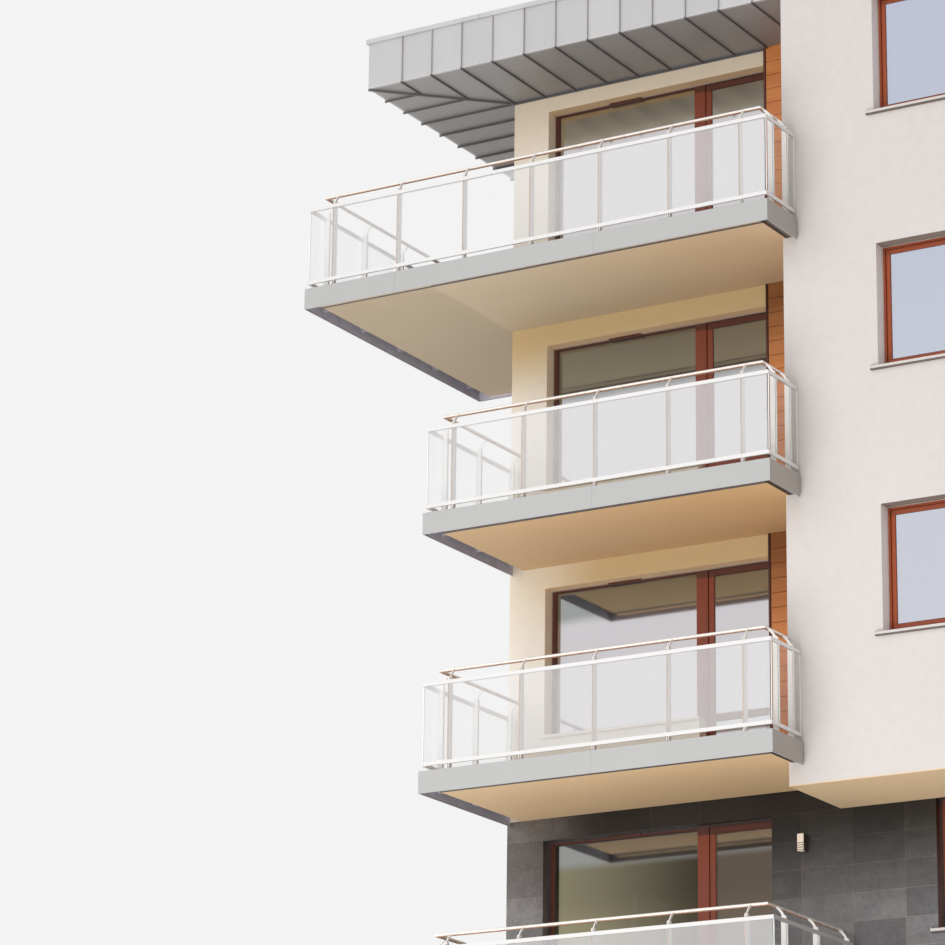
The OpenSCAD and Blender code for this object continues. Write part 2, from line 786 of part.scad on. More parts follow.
// The bevel's section as [depth, edge], between two edges of a pane, behind a face
function bevel_section(start, end, face) = [[face + bevel_depth, start], [face, start - bevel_w],
    [face - eps, start - bevel_w], [face - eps, end + bevel_w], [face, end + bevel_w],
    [face + bevel_depth, end]];
function turned(points) = [for (p = points) [p[1], p[0]]];

module cut_panes(panes, face) {
    for (p = panes) {
        box(p[0], p[0] + p[2], reveal - eps, reveal + frame_t + eps, p[1], p[1] + p[3]);
        intersection() {
            translate([0, 0, p[1] - 2 * bevel_w]) linear_extrude(p[3] + 4 * bevel_w)
                polygon(turned(bevel_section(p[0], p[0] + p[2], face)));
            translate([p[0] - 2 * bevel_w, 0, 0]) rotate([90, 0, 90])
                linear_extrude(p[2] + 4 * bevel_w)
                    polygon(bevel_section(p[1], p[1] + p[3], face));
        }
    }
}

module fill_panes(panes) {
    for (p = panes)
        box(p[0], p[0] + p[2], reveal + pane_inset, reveal + pane_inset + pane_t,
            p[1], p[1] + p[3]);
}

// A leaf lies a little behind the outer frame, with a groove round it
module leaf_recess(x, z, w, h) {
    box(x - leaf_gap, x + w + leaf_gap, reveal - eps, reveal + leaf_setback,
        z - leaf_gap, z + h + leaf_gap);
    difference() {
        box(x - leaf_gap, x + w + leaf_gap, reveal, reveal + leaf_setback + leaf_gap_depth,
            z - leaf_gap, z + h + leaf_gap);
        box(x, x + w, reveal - eps, reveal + leaf_setback + leaf_gap_depth + eps, z, z + h);
    }
}

module opening_frame() {
    difference() {
        union() {
            box(-frame_lap, balcony_open_w + frame_lap, reveal, reveal + frame_t,
                low_wall_h - frame_lap, head_h + frame_lap);
            box(low_wall_w - frame_lap, balcony_open_w + frame_lap, reveal, reveal + frame_t,
                0, low_wall_h);
        }
        cut_panes([fixed_pane], reveal);
        cut_panes([door_top_pane, door_low_pane], reveal + leaf_setback);
        leaf_recess(leaf_x + leaf_gap, 2 * leaf_gap, leaf_w, leaf_top - 2 * leaf_gap);
    }
}

module balcony_frames() {
    color("sienna") placed() at_balcony_openings([0 : top_level]) opening_frame();
}

module balcony_panes() {
    color("lightsteelblue", 0.5) placed() at_balcony_openings([0 : top_level])
        fill_panes(opening_panes);
}

module low_wall_sills() {
    color("antiquewhite") placed() at_balcony_openings([0 : top_level]) {
        box(0, low_wall_w, 0, reveal, low_wall_h, low_wall_h + low_sill_t);
        box(-low_sill_out, low_wall_w, -low_sill_out, 0, low_wall_h, low_wall_h + low_sill_t);
    }
}

module plain_frame() {
    translate([-window_w / 2, 0, sill_h]) difference() {
        box(-frame_lap, window_w + frame_lap, reveal, reveal + frame_t,
            -frame_lap, window_h + frame_lap);
        cut_panes(window_panes, reveal + leaf_setback);
        for (s = window_sashes) leaf_recess(s[0], s[1], s[2], s[3]);
    }
}

module plain_panes() {
    translate([-window_w / 2, 0, sill_h]) fill_panes(window_panes);
}

module plain_sill() {
    translate([-window_w / 2, 0, sill_h]) {
        rotate([90, 0, 90]) linear_extrude(window_w)
            polygon([[0, 0], [reveal, 0], [reveal, sill_fall], [0, sill_fall / 4]]);
        box(-sill_side, window_w + sill_side, -sill_out, 0, sill_fall / 4 - sill_lip, sill_fall / 4);
    }
}

// The front has the entrance under its lowest window
module at_plain_windows() {
    at_centre_windows([1 : top_level]) children();
    at_side_windows([0 : top_level]) children();
    at_rear_windows([0 : top_level]) children();
}

module window_frames() {
    color("sienna") placed() at_plain_windows() plain_frame();
}

module window_panes() {
    color("lightsteelblue", 0.5) placed() at_plain_windows() plain_panes();
}

module window_sills() {
    color("gainsboro") placed() at_plain_windows() plain_sill();
}

module entrance_door() {
    handle_z = 1000;
    handle_out = 60;
    handle_bar = 24;
    color("sienna") placed() translate([-window_w / 2, 0, level_z(0)]) {
        difference() {
            box(-frame_lap, window_w + frame_lap, reveal, reveal + frame_t,
                0, head_h + frame_lap);
            cut_panes(entrance_panes, reveal + leaf_setback);
            for (s = entrance_leaves)
                leaf_recess(s[0], s[1] + leaf_gap, s[2], s[3] - leaf_gap);
        }
        fill_panes(entrance_panes);
        translate([window_w / 2 + leaf_gap + stile_w / 2, 0, handle_z]) {
            box(-handle_bar / 2, handle_bar / 2, reveal - handle_out, reveal - handle_out + handle_bar,
                -350, 350);
            for (z = [-280, 280])
                box(-handle_bar / 2, handle_bar / 2, reveal - handle_out, reveal + leaf_setback,
                    z - handle_bar / 2, z + handle_bar / 2);
        }
    }
}

// Timber boards beside the bay, from each balcony floor to the soffit above

function boards_top(n) = n == top_level ? soffit_z - level_z(n) : storey_h - balcony_t;

module board_stack(n) {
    top = boards_top(n);
    count = floor((top - top_board_h) / board_pitch);
    box(opening_end_x, opening_end_x + edge_strip_w, -board_t - 3, 0, 0, top);
    box(opening_end_x + edge_strip_w + board_gap, boards_end_x, -board_t, 0,
        top - top_board_h + board_gap, top);
    for (i = [0 : count]) {
        z1 = top - top_board_h - i * board_pitch;
        z0 = max(z1 - board_pitch + board_gap, 0);
        if (z1 - z0 > board_gap)
            box(opening_end_x + edge_strip_w + board_gap, boards_end_x, -board_t, 0, z0, z1);
    }
}

module timber_boards() {
    color("peru") placed() both_sides() for (n = [stone_storeys : top_level])
        translate([0, 0, level_z(n)]) board_stack(n);
}

module wall_lamps() {
    plate_t = 12;
    color("silver") placed() both_sides() for (n = [0 : stone_storeys - 1])
        translate([bay_x - lamp_x, 0, level_z(n) + lamp_z]) {
            box(-lamp_w / 2, lamp_w / 2, -plate_t, 0, 0, lamp_h);
            box(-lamp_w / 2 + 6, lamp_w / 2 - 6, -lamp_w, -plate_t, 10, lamp_h - 10);
        }
}

// Roof edge: boarded metal cladding with standing seams, a cap and a flat deck

roof_x = left_x - eaves_side;
roof_w = block_w + 2 * eaves_side;
roof_len = block_d + eaves_front + eaves_side;
roof_edges = [[roof_x, -eaves_front, 0, roof_w], [-roof_x, -eaves_front, 90, roof_len],
    [-roof_x, block_d + eaves_side, 180, roof_w], [roof_x, block_d + eaves_side, -90, roof_len]];

module roof_cladding() {
    color("lightslategray") placed() for (e = roof_edges) along(e)
        mitred_bar(joint_gap / 2, e[3] - joint_gap / 2, 0, metal_t,
            soffit_z, roof_top_z - cap_h, 1, 1);
}

module roof_soffit() {
    color("slategray") placed() {
        both_sides() {
            box(roof_x + metal_t, bay_x, metal_t - eaves_front, skin_t, soffit_z, wall_top_z);
            box(roof_x + metal_t, left_x + skin_t, skin_t, block_d - skin_t, soffit_z, wall_top_z);
        }
        box(roof_x + metal_t, -roof_x - metal_t, block_d - skin_t,
            block_d + eaves_side - metal_t, soffit_z, wall_top_z);
    }
}

// Seams over the front are set out from the corner of the block, both ways
front_seams = concat([for (i = [1, 2]) left_x - i * corner_seam_pitch],
    [for (x = left_x; x < -seam_w; x = x + seam_pitch) x]);
side_seam_step = eaves_front / 3;
side_seams = concat([for (i = [1, 2]) -i * side_seam_step],
    [for (y = 0; y < block_d; y = y + seam_pitch) y]);
rear_seams = [for (i = [1, 2]) block_d + i * corner_seam_pitch];

module face_seam(x) {
    box(x - seam_w / 2, x + seam_w / 2, -seam_out, 0, soffit_z - seam_out, roof_top_z - cap_h);
}

// The soffit seams stop at the wall, or at the seam over the corner's mitre
function mitre_y(x) = x < left_x ? eaves_front * (x - roof_x) / eaves_side - eaves_front : 0;
function mitre_x(y) = y < 0 ? roof_x + (y + eaves_front) * eaves_side / eaves_front
    : y > block_d ? roof_x + (block_d + eaves_side - y) : left_x;

module mitre_seam(x, y, dx, dy) {
    run = sqrt(dx * dx + dy * dy);
    translate([x, y, soffit_z - seam_out]) rotate([0, 0, atan2(dy, dx)])
        translate([0, -seam_w, 0]) cube([run - seam_w, 2 * seam_w, seam_out]);
}

module roof_seams() {
    color("lightslategray") placed() both_sides() {
        for (x = front_seams) {
            translate([0, -eaves_front, 0]) face_seam(x);
            if (x < bay_x - seam_w)
                box(x - seam_w / 2, x + seam_w / 2, -eaves_front,
                    mitre_y(x) - 2 * seam_w, soffit_z - seam_out, soffit_z);
        }
        for (y = concat(side_seams, rear_seams)) {
            box(roof_x - seam_out, roof_x, y - seam_w / 2, y + seam_w / 2,
                soffit_z - seam_out, roof_top_z - cap_h);
            box(roof_x, mitre_x(y) - 2 * seam_w, y - seam_w / 2, y + seam_w / 2,
                soffit_z - seam_out, soffit_z);
        }
        for (x = front_seams) {
            translate([0, block_d + eaves_side, 0]) mirror([0, 1, 0]) face_seam(x);
            box(x - seam_w / 2, x + seam_w / 2,
                block_d + max(0, left_x - x) + 2 * seam_w, block_d + eaves_side,
                soffit_z - seam_out, soffit_z);
        }
        mitre_seam(roof_x, -eaves_front, eaves_side, eaves_front);
        mitre_seam(roof_x, block_d + eaves_side, eaves_side, -eaves_side);
    }
}

module roof_cap() {
    color("lightslategray") placed() for (e = roof_edges) along(e)
        mitred_bar(joint_gap / 2, e[3] - joint_gap / 2, -cap_out, cap_w - cap_out,
            roof_top_z - cap_h, roof_top_z, 1, 1);
}

module roof_deck() {
    color("darkslategray") placed()
        box(roof_x + metal_t, -roof_x - metal_t, metal_t - eaves_front,
            block_d + eaves_side - metal_t, wall_top_z + roof_slab_t, roof_top_z - upstand);
}

ground_slab();
floor_slabs();
bay_floors();
roof_slab();
front_piers();
front_beams();
low_walls();
side_piers();
side_beams();
rear_piers();
rear_beams();
bay_side_walls();
centre_piers();
bay_beams();
slate_facing();
block_render();
recess_render();
bay_render();
bay_soffit();
balcony_slabs();
balcony_fascias();
railing_posts();
railing_glass();
glass_rails();
handrails();
balcony_frames();
balcony_panes();
low_wall_sills();
window_frames();
window_panes();
window_sills();
entrance_door();
timber_boards();
wall_lamps();
roof_cladding();
roof_soffit();
roof_seams();
roof_cap();
roof_deck();
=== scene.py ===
# %% [markdown]
# # An apartment block, dressed
#
# The block stands finished in size and shape when it comes from the CAD frame: walls,
# slabs, frames, railings and roof. This lesson gives it its surfaces, and adds the small
# pieces that are too many or too thin for a CAD model: stone slabs, seals, rivets and
# trim. Everything is in metres, X along the balcony front, Y to the rear and Z up.

import math

import bmesh
import bpy
from mathutils import Matrix, Vector


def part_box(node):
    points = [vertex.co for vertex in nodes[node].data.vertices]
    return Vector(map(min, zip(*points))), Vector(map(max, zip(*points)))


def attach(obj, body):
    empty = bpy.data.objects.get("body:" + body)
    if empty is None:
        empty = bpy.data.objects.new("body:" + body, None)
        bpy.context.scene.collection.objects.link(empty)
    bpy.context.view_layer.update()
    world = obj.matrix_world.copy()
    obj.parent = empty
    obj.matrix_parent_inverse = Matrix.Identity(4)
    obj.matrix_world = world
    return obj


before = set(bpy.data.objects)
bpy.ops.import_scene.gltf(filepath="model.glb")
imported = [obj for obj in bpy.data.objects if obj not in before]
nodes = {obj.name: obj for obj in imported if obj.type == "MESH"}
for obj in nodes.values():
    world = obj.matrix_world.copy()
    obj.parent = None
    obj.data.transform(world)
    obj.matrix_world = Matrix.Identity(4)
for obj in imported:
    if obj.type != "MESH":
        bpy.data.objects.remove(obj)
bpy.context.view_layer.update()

# %% [markdown]
# ## Reading places from the frame
#
# Like pieces share a node as separate solids, so a node's own box says little. Splitting
# its mesh into islands gives one box for each pane, post or slab, and every piece that is
# added later takes its place from one of these boxes. If the CAD model changes, the trim
# follows it. Opening each wall by typed numbers would be shorter, but would go wrong then.

# %% Split a node into the boxes of its solids
weld = 0.0001


class Box:
    """The lowest and highest corner of one solid."""

    def __init__(self, points):
        self.low = Vector([min(p[i] for p in points) for i in range(3)])
        self.high = Vector([max(p[i] for p in points) for i in range(3)])
        self.size = self.high - self.low
        self.middle = (self.high + self.low) / 2

    def thin_axis(self):
        """0 for a piece that faces along X and 1 for one that faces along Y."""
        return 0 if self.size.x < self.size.y else 1

    def order(self):
        """What boxes are sorted by."""
        return [round(value, 4) for value in (*self.low, *self.high)]


def island_of(start, unseen):
    """All vertices that edges join to the first one."""
    unseen.discard(start)
    front, island = [start], []
    while front:
        vertex = front.pop()
        island.append(vertex.co.copy())
        for edge in vertex.link_edges:
            other = edge.other_vert(vertex)
            if other in unseen:
                unseen.discard(other)
                front.append(other)
    return island


def solids(name):
    """The boxes of a node's separate solids, in an order that never changes."""
    work = bmesh.new()
    work.from_mesh(nodes[name].data)
    bmesh.ops.remove_doubles(work, verts=work.verts, dist=weld)
    unseen = set(work.verts)
    boxes = [Box(island_of(vertex, unseen)) for vertex in work.verts if vertex in unseen]
    work.free()
    return sorted(boxes, key=Box.order)


def nearest(boxes, box):
    """The box whose middle lies nearest to that of another one."""
    return min(boxes, key=lambda other: (other.middle - box.middle).length)


posts = solids("railing_posts")
railing_panes = solids("railing_glass")
balcony_slabs = solids("balcony_slabs")
edge_sheets = solids("balcony_fascias")
balcony_panes = solids("balcony_panes")
panes = solids("window_panes") + balcony_panes
balcony_frames = solids("balcony_frames")
window_frames = solids("window_frames")
print(len(posts), "posts,", len(panes), "panes and", len(window_frames), "plain windows")

# %% Name the planes of the block
slate_low, slate_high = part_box("slate_facing")
bay_low, bay_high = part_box("bay_render")
front_y = slate_low.y
rear_y = slate_high.y
side_x = slate_high.x
slate_top = slate_high.z
bay_front_y = bay_low.y
bay_x = bay_high.x
slab_front = balcony_slabs[0].low.y
soffit_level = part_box("roof_soffit")[0].z
storey_height = 3.0
ground_step = 0.15
upper_floors = 6
top_floor = ground_step + upper_floors * storey_height
print("front wall at", round(front_y, 3), "and bay front at", round(bay_front_y, 3))

# %% [markdown]
# ## The camera
#
# The photograph was taken with a long lens from low down in front and to the right. The
# direction was found by lining up the block's own edges, so the camera is written as a
# place, three angles and a lens. A long lens from afar keeps the uprights nearly parallel,
# which moving closer with a wide lens would not.

# %% Set up the camera
photo_pixels = 945
focal_pixels = 3913.18
sensor_width = 36
camera_place = Vector((16.47, -43.786, 2.517))
camera_yaw = math.radians(31.393)
camera_pitch = math.radians(17.097)
camera_roll = math.radians(0.764)
far_clip = 300

look = Vector((-math.sin(camera_yaw) * math.cos(camera_pitch),
               math.cos(camera_yaw) * math.cos(camera_pitch), math.sin(camera_pitch)))
level = Vector((math.cos(camera_yaw), math.sin(camera_yaw), 0))
above = level.cross(look)
camera_right = level * math.cos(camera_roll) + above * math.sin(camera_roll)
camera_up = above * math.cos(camera_roll) - level * math.sin(camera_roll)

camera = bpy.data.objects.new("camera", bpy.data.cameras.new("camera"))
bpy.context.scene.collection.objects.link(camera)
camera_matrix = Matrix((camera_right, camera_up, -look)).transposed().to_4x4()
camera_matrix.translation = camera_place
camera.matrix_world = camera_matrix
camera.data.sensor_width = sensor_width
camera.data.lens = focal_pixels / photo_pixels * sensor_width
camera.data.clip_end = far_clip
bpy.context.scene.camera = camera
print("lens", round(camera.data.lens, 1), "mm")

# %% [markdown]
# ## Writing node trees as sums
#
# Shader and Geometry Nodes trees are easier to read as Python expressions than as lists of
# links. A Wire stands for an output socket, and its operators add Math nodes. A Sheet is a
# tree being written, with one method that makes any node: its type, its settings, and the
# values or wires of its sockets.

# %% A wire that can be added and multiplied
class Wire:
    """The output of a node, as a value in arithmetic."""

    def __init__(self, sheet, socket):
        self.sheet = sheet
        self.socket = socket

    def __add__(self, other):
        return self.sheet.maths("ADD", self, other)

    def __sub__(self, other):
        return self.sheet.maths("SUBTRACT", self, other)

    def __rsub__(self, other):
        return self.sheet.maths("SUBTRACT", other, self)

    def __mul__(self, other):
        return self.sheet.maths("MULTIPLY", self, other)

    def __truediv__(self, other):
        return self.sheet.maths("DIVIDE", self, other)

    def __pow__(self, other):
        return self.sheet.maths("POWER", self, other)

    __radd__ = __add__
    __rmul__ = __mul__

    def floor(self):
        return self.sheet.maths("FLOOR", self)

    def fraction(self):
        return self.sheet.maths("FRACT", self)

    def size(self):
        """The value without its sign."""
        return self.sheet.maths("ABSOLUTE", self)

    def either(self, other):
        """The larger of two values, so that 1 in one of them is enough."""
        return self.sheet.maths("MAXIMUM", self, other)

    def over(self, limit):
        """1 where the value is over a limit, and 0 elsewhere."""
        return self.sheet.maths("GREATER_THAN", self, limit)

    def fade(self, low, high):
        """0 below the low value, 1 above the high one, and smooth between them."""
        ends = {"From Min": low, "From Max": high, "Value": self}
        return self.sheet.add("ShaderNodeMapRange", {"interpolation_type": "SMOOTHSTEP"}, ends)


# %% A sheet that any node can be added to
def socket_of(sockets, key):
    """A socket by its place, its identifier or its name."""
    if isinstance(key, int):
        return sockets[key]
    for socket in sockets:
        if socket.identifier == key:
            return socket
    return next(socket for socket in sockets if socket.name == key and socket.enabled)


class Sheet:
    """A node tree that is being written."""

    def __init__(self, tree):
        self.tree = tree

    def connect(self, node, key, value):
        """Links a wire to a socket, or gives the socket a fixed value."""
        socket = socket_of(node.inputs, key)
        if isinstance(value, Wire):
            self.tree.links.new(value.socket, socket)
        elif isinstance(value, tuple):
            socket.default_value = value[:len(socket.default_value)]
        else:
            socket.default_value = value

    def add(self, kind, settings=None, sockets=None, output=0):
        """A new node: its settings first, then its sockets. The wire is one of its outputs."""
        node = self.tree.nodes.new(kind)
        for name, value in (settings or {}).items():
            setattr(node, name, value)
        for key, value in (sockets or {}).items():
            self.connect(node, key, value)
        return Wire(self, socket_of(node.outputs, output))

    def maths(self, operation, *values):
        """A Math node on wires or numbers."""
        return self.add("ShaderNodeMath", {"operation": operation}, dict(enumerate(values)))


print("sheets and wires are ready")

# %% [markdown]
# ## Painting with places
#
# Each finish is one Principled shader with a few layers over its base colour: large and
# small mottling, streaks, grain and a bump. They are measured in metres from the object's
# own coordinates, so that they need no unwrapping and keep their true scale on the walls.

# %% A finish and its common layers
mostly = 0.7


def colour(red, green, blue):
    """A colour in linear light, from 0 to 1."""
    return (red, green, blue, 1.0)


class Finish(Sheet):
    """A material with one Principled shader, painted by place."""

    def __init__(self, name, roughness, metallic=0.0):
        self.material = bpy.data.materials.new(name)
        self.material.use_nodes = True
        super().__init__(self.material.node_tree)
        self.shader = self.tree.nodes["Principled BSDF"]
        self.place = self.add("ShaderNodeTexCoord", output="Object")
        split = {"Vector": self.place}
        self.x = self.add("ShaderNodeSeparateXYZ", None, split, "X")
        self.y = self.add("ShaderNodeSeparateXYZ", None, split, "Y")
        self.z = self.add("ShaderNodeSeparateXYZ", None, split, "Z")
        self.lay("Roughness", roughness)
        self.lay("Metallic", metallic)

    def lay(self, name, value):
        """Sets a value of the shader, or lays a wire on it."""
        self.connect(self.shader, name, value)

    def joined(self, x, y, z):
        """A place made of three values."""
        return self.add("ShaderNodeCombineXYZ", None, {"X": x, "Y": y, "Z": z})

    def outlook(self, axis):
        """How far a face looks along an axis, from -1 to 1."""
        normal = self.add("ShaderNodeNewGeometry", output="Normal")
        return self.add("ShaderNodeSeparateXYZ", None, {"Vector": normal}, axis)

    def facing(self, axis):
        """1 on faces that look along an axis, either way."""
        return self.outlook(axis).size().over(mostly)

    def noise(self, size, detail=3.0, place=None):
        """Smooth noise from 0 to 1 with spots of a given size."""
        sockets = {"Vector": place or self.place, "Scale": 1 / size, "Detail": detail}
        return self.add("ShaderNodeTexNoise", None, sockets, "Fac")

    def stretched(self, x, y, z):
        """Places that are squeezed, so that a pattern on them runs out along an axis."""
        sockets = {0: self.place, 1: (x, y, z)}
        return self.add("ShaderNodeVectorMath", {"operation": "MULTIPLY"}, sockets)

    def chance(self, number):
        """A fixed random value from 0 to 1 for each whole number."""
        sockets = {"W": number}
        return self.add("ShaderNodeTexWhiteNoise", {"noise_dimensions": "1D"}, sockets, "Value")

    def blend(self, first, second, share):
        """One colour going over into another."""
        sockets = {"Factor_Float": share, "A_Color": first, "B_Color": second}
        return self.add("ShaderNodeMix", {"data_type": "RGBA"}, sockets, "Result_Color")

    def shaded(self, base, strength):
        """A colour made lighter or darker by a value about 1."""
        sockets = {0: base, "Scale": strength}
        return self.add("ShaderNodeVectorMath", {"operation": "SCALE"}, sockets)

    def relief(self, height, depth, strength=1.0):
        """A bump whose height runs from 0 to a depth in metres."""
        sockets = {"Height": height, "Distance": depth, "Strength": strength}
        self.lay("Normal", self.add("ShaderNodeBump", None, sockets, "Normal"))


def height_above_floor(paint):
    """How far a place lies above the floor of its own storey."""
    return ((paint.z - ground_step) / storey_height).fraction() * storey_height


def dress(name, finish):
    """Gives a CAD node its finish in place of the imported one."""
    nodes[name].material_slots[0].material = finish.material


print("finishes can be mixed")

# %% [markdown]
# ## Mineral render and cast concrete
#
# The upper walls carry a fine scraped render, warm light grey outside and cream inside the
# balcony recesses. Real render is never even: it has wide, faint clouds from drying, small
# blotches and a grain of one to two millimetres. Three sizes of noise give these, and the
# grain also drives the bump. Light that is thrown from one surface to another is painted
# into the colours too: the side reveals get painted light and are paler than their wall,
# level faces get painted shade, and a cream wall gets painted bounce and shade, warmer and
# darker near the soffit over it.
# A studio lamp for each would do this as well, but the light has to stay plain.

# %% Mix the mineral finishes
def mineral(name, cloud, blotch, grain, roughness=0.9):
    """A finish with a fine grain, and the tone of its wide clouds and small blotches."""
    paint = Finish(name, roughness)
    clouds = paint.noise(size=1.7, detail=2.0)
    blotches = paint.noise(size=0.11, detail=4.0)
    grains = paint.noise(size=0.0022, detail=2.0)
    tone = 1 + (clouds - 0.5) * cloud + (blotches - 0.5) * blotch + (grains - 0.5) * grain
    paint.relief(grains + blotches * 0.4, depth=0.0012, strength=0.6)
    return paint, tone


def plain_mineral(name, base, cloud, blotch, grain, roughness=0.9):
    """A mineral finish of one colour."""
    paint, tone = mineral(name, cloud, blotch, grain, roughness)
    paint.lay("Base Color", paint.shaded(base, tone))
    return paint


beige_coat = plain_mineral("beige_coat", colour(0.72, 0.53, 0.325),
                           cloud=0.08, blotch=0.05, grain=0.03, roughness=0.7)
cast_concrete = plain_mineral("cast_concrete", colour(0.40, 0.385, 0.36),
                              cloud=0.16, blotch=0.18, grain=0.1)
inner_plaster = plain_mineral("inner_plaster", colour(0.70, 0.68, 0.64),
                              cloud=0.05, blotch=0.03, grain=0.05)
print("coat, concrete and plaster are mixed")

# %% Mix the grey render
coat_thickness = 0.02


def near(wire, value):
    """1 where a wire is within a coat's thickness of a value."""
    return 1 - (wire - value).size().over(coat_thickness)


def in_side_reveals(paint):
    """1 on the upright faces of window reveals, which are painted a little paler as painted light.
    """
    from_middle = paint.x.size()
    outer_side = near(from_middle, side_x).either(near(from_middle, bay_x))
    return paint.facing("X") * (1 - outer_side)


grey_base = colour(0.605, 0.562, 0.54)
grey_lit_reveal = colour(0.95, 0.90, 0.87)
grey_shaded_level_face = colour(0.21, 0.165, 0.14)
grey_render, grey_tone = mineral("grey_render", cloud=0.05, blotch=0.11, grain=0.18)
# Side reveals get painted light from bounce, and level faces get painted shade
grey = grey_render.blend(grey_base, grey_lit_reveal, in_side_reveals(grey_render))
grey = grey_render.blend(grey, grey_shaded_level_face, grey_render.facing("Z"))
grey_render.lay("Base Color", grey_render.shaded(grey, grey_tone))
print("grey render is mixed")

# %% Mix the cream render
cream_base = colour(0.93, 0.86, 0.765)
cream_lit_on_top = colour(0.96, 0.85, 0.71)
cream_soffit_bounce_shade = colour(0.60, 0.44, 0.225)
cream_roof_bounce_shade = colour(0.85, 0.72, 0.55)
cream_lit_reveal = colour(0.98, 0.84, 0.66)
cream_shaded_level_face = colour(0.84, 0.60, 0.36)
bounce_shade_heights = (1.6, 2.65)
lit_open_corner_span = (4.9, 6.1)
cream_render, cream_tone = mineral("cream_render", cloud=0.04, blotch=0.08, grain=0.16)

# On the top storey the base is painted lighter as painted light, and the painted bounce and shade
# near the soffit is paler under the metal soffit of the roof than under a beige one
on_top_floor = cream_render.z.over(top_floor)
cream = cream_render.blend(cream_base, cream_lit_on_top, on_top_floor)
soffit_bounce_shade = cream_render.blend(cream_soffit_bounce_shade, cream_roof_bounce_shade, on_top_floor)

# The painted bounce and shade is weaker at the outer corner, where light comes in, unless the
# balcony above runs round that corner
under_wide_slab = cream_render.z.over(top_floor - storey_height)
lit_open_corner = cream_render.x.size().fade(*lit_open_corner_span) * (1 - under_wide_slab)
near_soffit = height_above_floor(cream_render).fade(*bounce_shade_heights) * (1 - lit_open_corner * 0.6)
cream = cream_render.blend(cream, soffit_bounce_shade, near_soffit)
# Side reveals get painted light from bounce, and level faces get painted shade
cream = cream_render.blend(cream, cream_lit_reveal, in_side_reveals(cream_render))
cream = cream_render.blend(cream, cream_shaded_level_face, cream_render.facing("Z"))
cream_render.lay("Base Color", cream_render.shaded(cream, cream_tone))
print("cream render is mixed")

# %% Put the mineral finishes on
for node_name in ("block_render", "bay_render"):
    dress(node_name, grey_render)
for node_name in ("recess_render", "low_wall_sills"):
    dress(node_name, cream_render)
for node_name in ("ground_slab", "floor_slabs", "bay_floors", "roof_slab"):
    dress(node_name, cast_concrete)
for node_name in ("front_piers", "front_beams", "low_walls", "side_piers", "side_beams",
                  "rear_piers", "rear_beams", "bay_side_walls", "centre_piers", "bay_beams"):
    dress(node_name, inner_plaster)
dress("bay_soffit", beige_coat)
print("render, coat, concrete and plaster are on")

# %% [markdown]
# ## Balcony slabs
#
# Underneath, a balcony slab is painted like the coat under the bay, with a dark line of
# painted shadow along its front edge, behind the edge sheet. The two upper slabs hang
# further from the light that the ground throws back, so their coats are painted darker as
# painted shade. On top a slab is bare concrete with a sealed surface, and its edges are
# painted near black as painted shade in the gap behind the sheet that hides them. All are
# one solid, so the finish changes colour by the way a face looks, which needs no second
# material.

# %% Paint the balcony slabs
sealed_concrete = colour(0.42, 0.41, 0.39)
gap_shade_colour = colour(0.09, 0.085, 0.085)
shadow_line_colour = colour(0.10, 0.085, 0.085)
coat_span = (2.2, 5.8)
shadow_line_start = 0.001
narrowest_shadow_line = 0.036
shadow_line_growth = 0.011
balcony_paint = Finish("balcony_paint", roughness=0.7)
slab_clouds = balcony_paint.noise(size=1.3, detail=2.0)
slab_blotches = balcony_paint.noise(size=0.09, detail=4.0)
slab_tone = 1 + (slab_clouds - 0.5) * 0.08 + (slab_blotches - 0.5) * 0.05

# Each coat changes a little from the bay to the outer end
outwards = balcony_paint.x.size().fade(*coat_span)
low_coat = balcony_paint.blend(colour(0.69, 0.48, 0.27), colour(0.72, 0.51, 0.30), outwards)
middle_coat = balcony_paint.blend(colour(0.59, 0.37, 0.18), colour(0.60, 0.405, 0.225), outwards)
top_coat = balcony_paint.blend(colour(0.57, 0.405, 0.245), colour(0.55, 0.44, 0.305), outwards)
over_low_slabs = balcony_paint.z.over(top_floor - storey_height * 1.5)
over_middle_slabs = balcony_paint.z.over(top_floor - storey_height * 0.5)
coat = balcony_paint.blend(low_coat, middle_coat, over_low_slabs)
coat = balcony_paint.blend(coat, top_coat, over_middle_slabs)

# The line of painted shadow starts just inside the front edge, and is wider on the lower slabs
shadow_line_width = narrowest_shadow_line + (top_floor - balcony_paint.z) * shadow_line_growth
past_edge = balcony_paint.y - slab_front
in_shadow_line = past_edge.over(shadow_line_start) * (1 - (past_edge - shadow_line_width).over(0))
coat = balcony_paint.blend(coat, shadow_line_colour, in_shadow_line)

looks_up = balcony_paint.outlook("Z")
is_edge = 1 - looks_up.size().over(0.5)
slab_hue = balcony_paint.blend(coat, sealed_concrete, looks_up.over(0.5))
# The edges get painted shade for the gap behind the edge sheet
slab_hue = balcony_paint.blend(slab_hue, gap_shade_colour, is_edge)
balcony_paint.lay("Base Color", balcony_paint.shaded(slab_hue, slab_tone))
balcony_paint.relief(slab_blotches, depth=0.001, strength=0.4)
dress("balcony_slabs", balcony_paint)
print("balcony slabs are painted")

# %% [markdown]
# ## Dark slate
#
# The lower storeys are clad with satin slate, 628 by 317 millimetres, with pinkish mortar
# joints of about 4 mm. Each slab has its own tone, and its surface is cleft by hand, with
# soft low waves and thin layers. Just below the upper storeys the stone is painted dark and
# brownish as painted shade, less so at the outer corners, which are painted lighter as
# painted light, and lower down the stone is painted a little lighter.
# The facing behind shows as mortar on its outer face and as the same stone where it turns
# in to the windows, so one recipe serves both and an attribute tells the slabs apart.

# %% Mix the slate
fresh_slate = colour(0.078, 0.079, 0.083)
dull_and_shaded_slate = colour(0.095, 0.080, 0.070)
front_depth = 0.1
painted_shade_heights = (slate_top - 1.35, slate_top - 0.2)
lighter_heights = (slate_top - 2.6, slate_top - 1.0)
lit_corner_span = (5.0, 6.1)


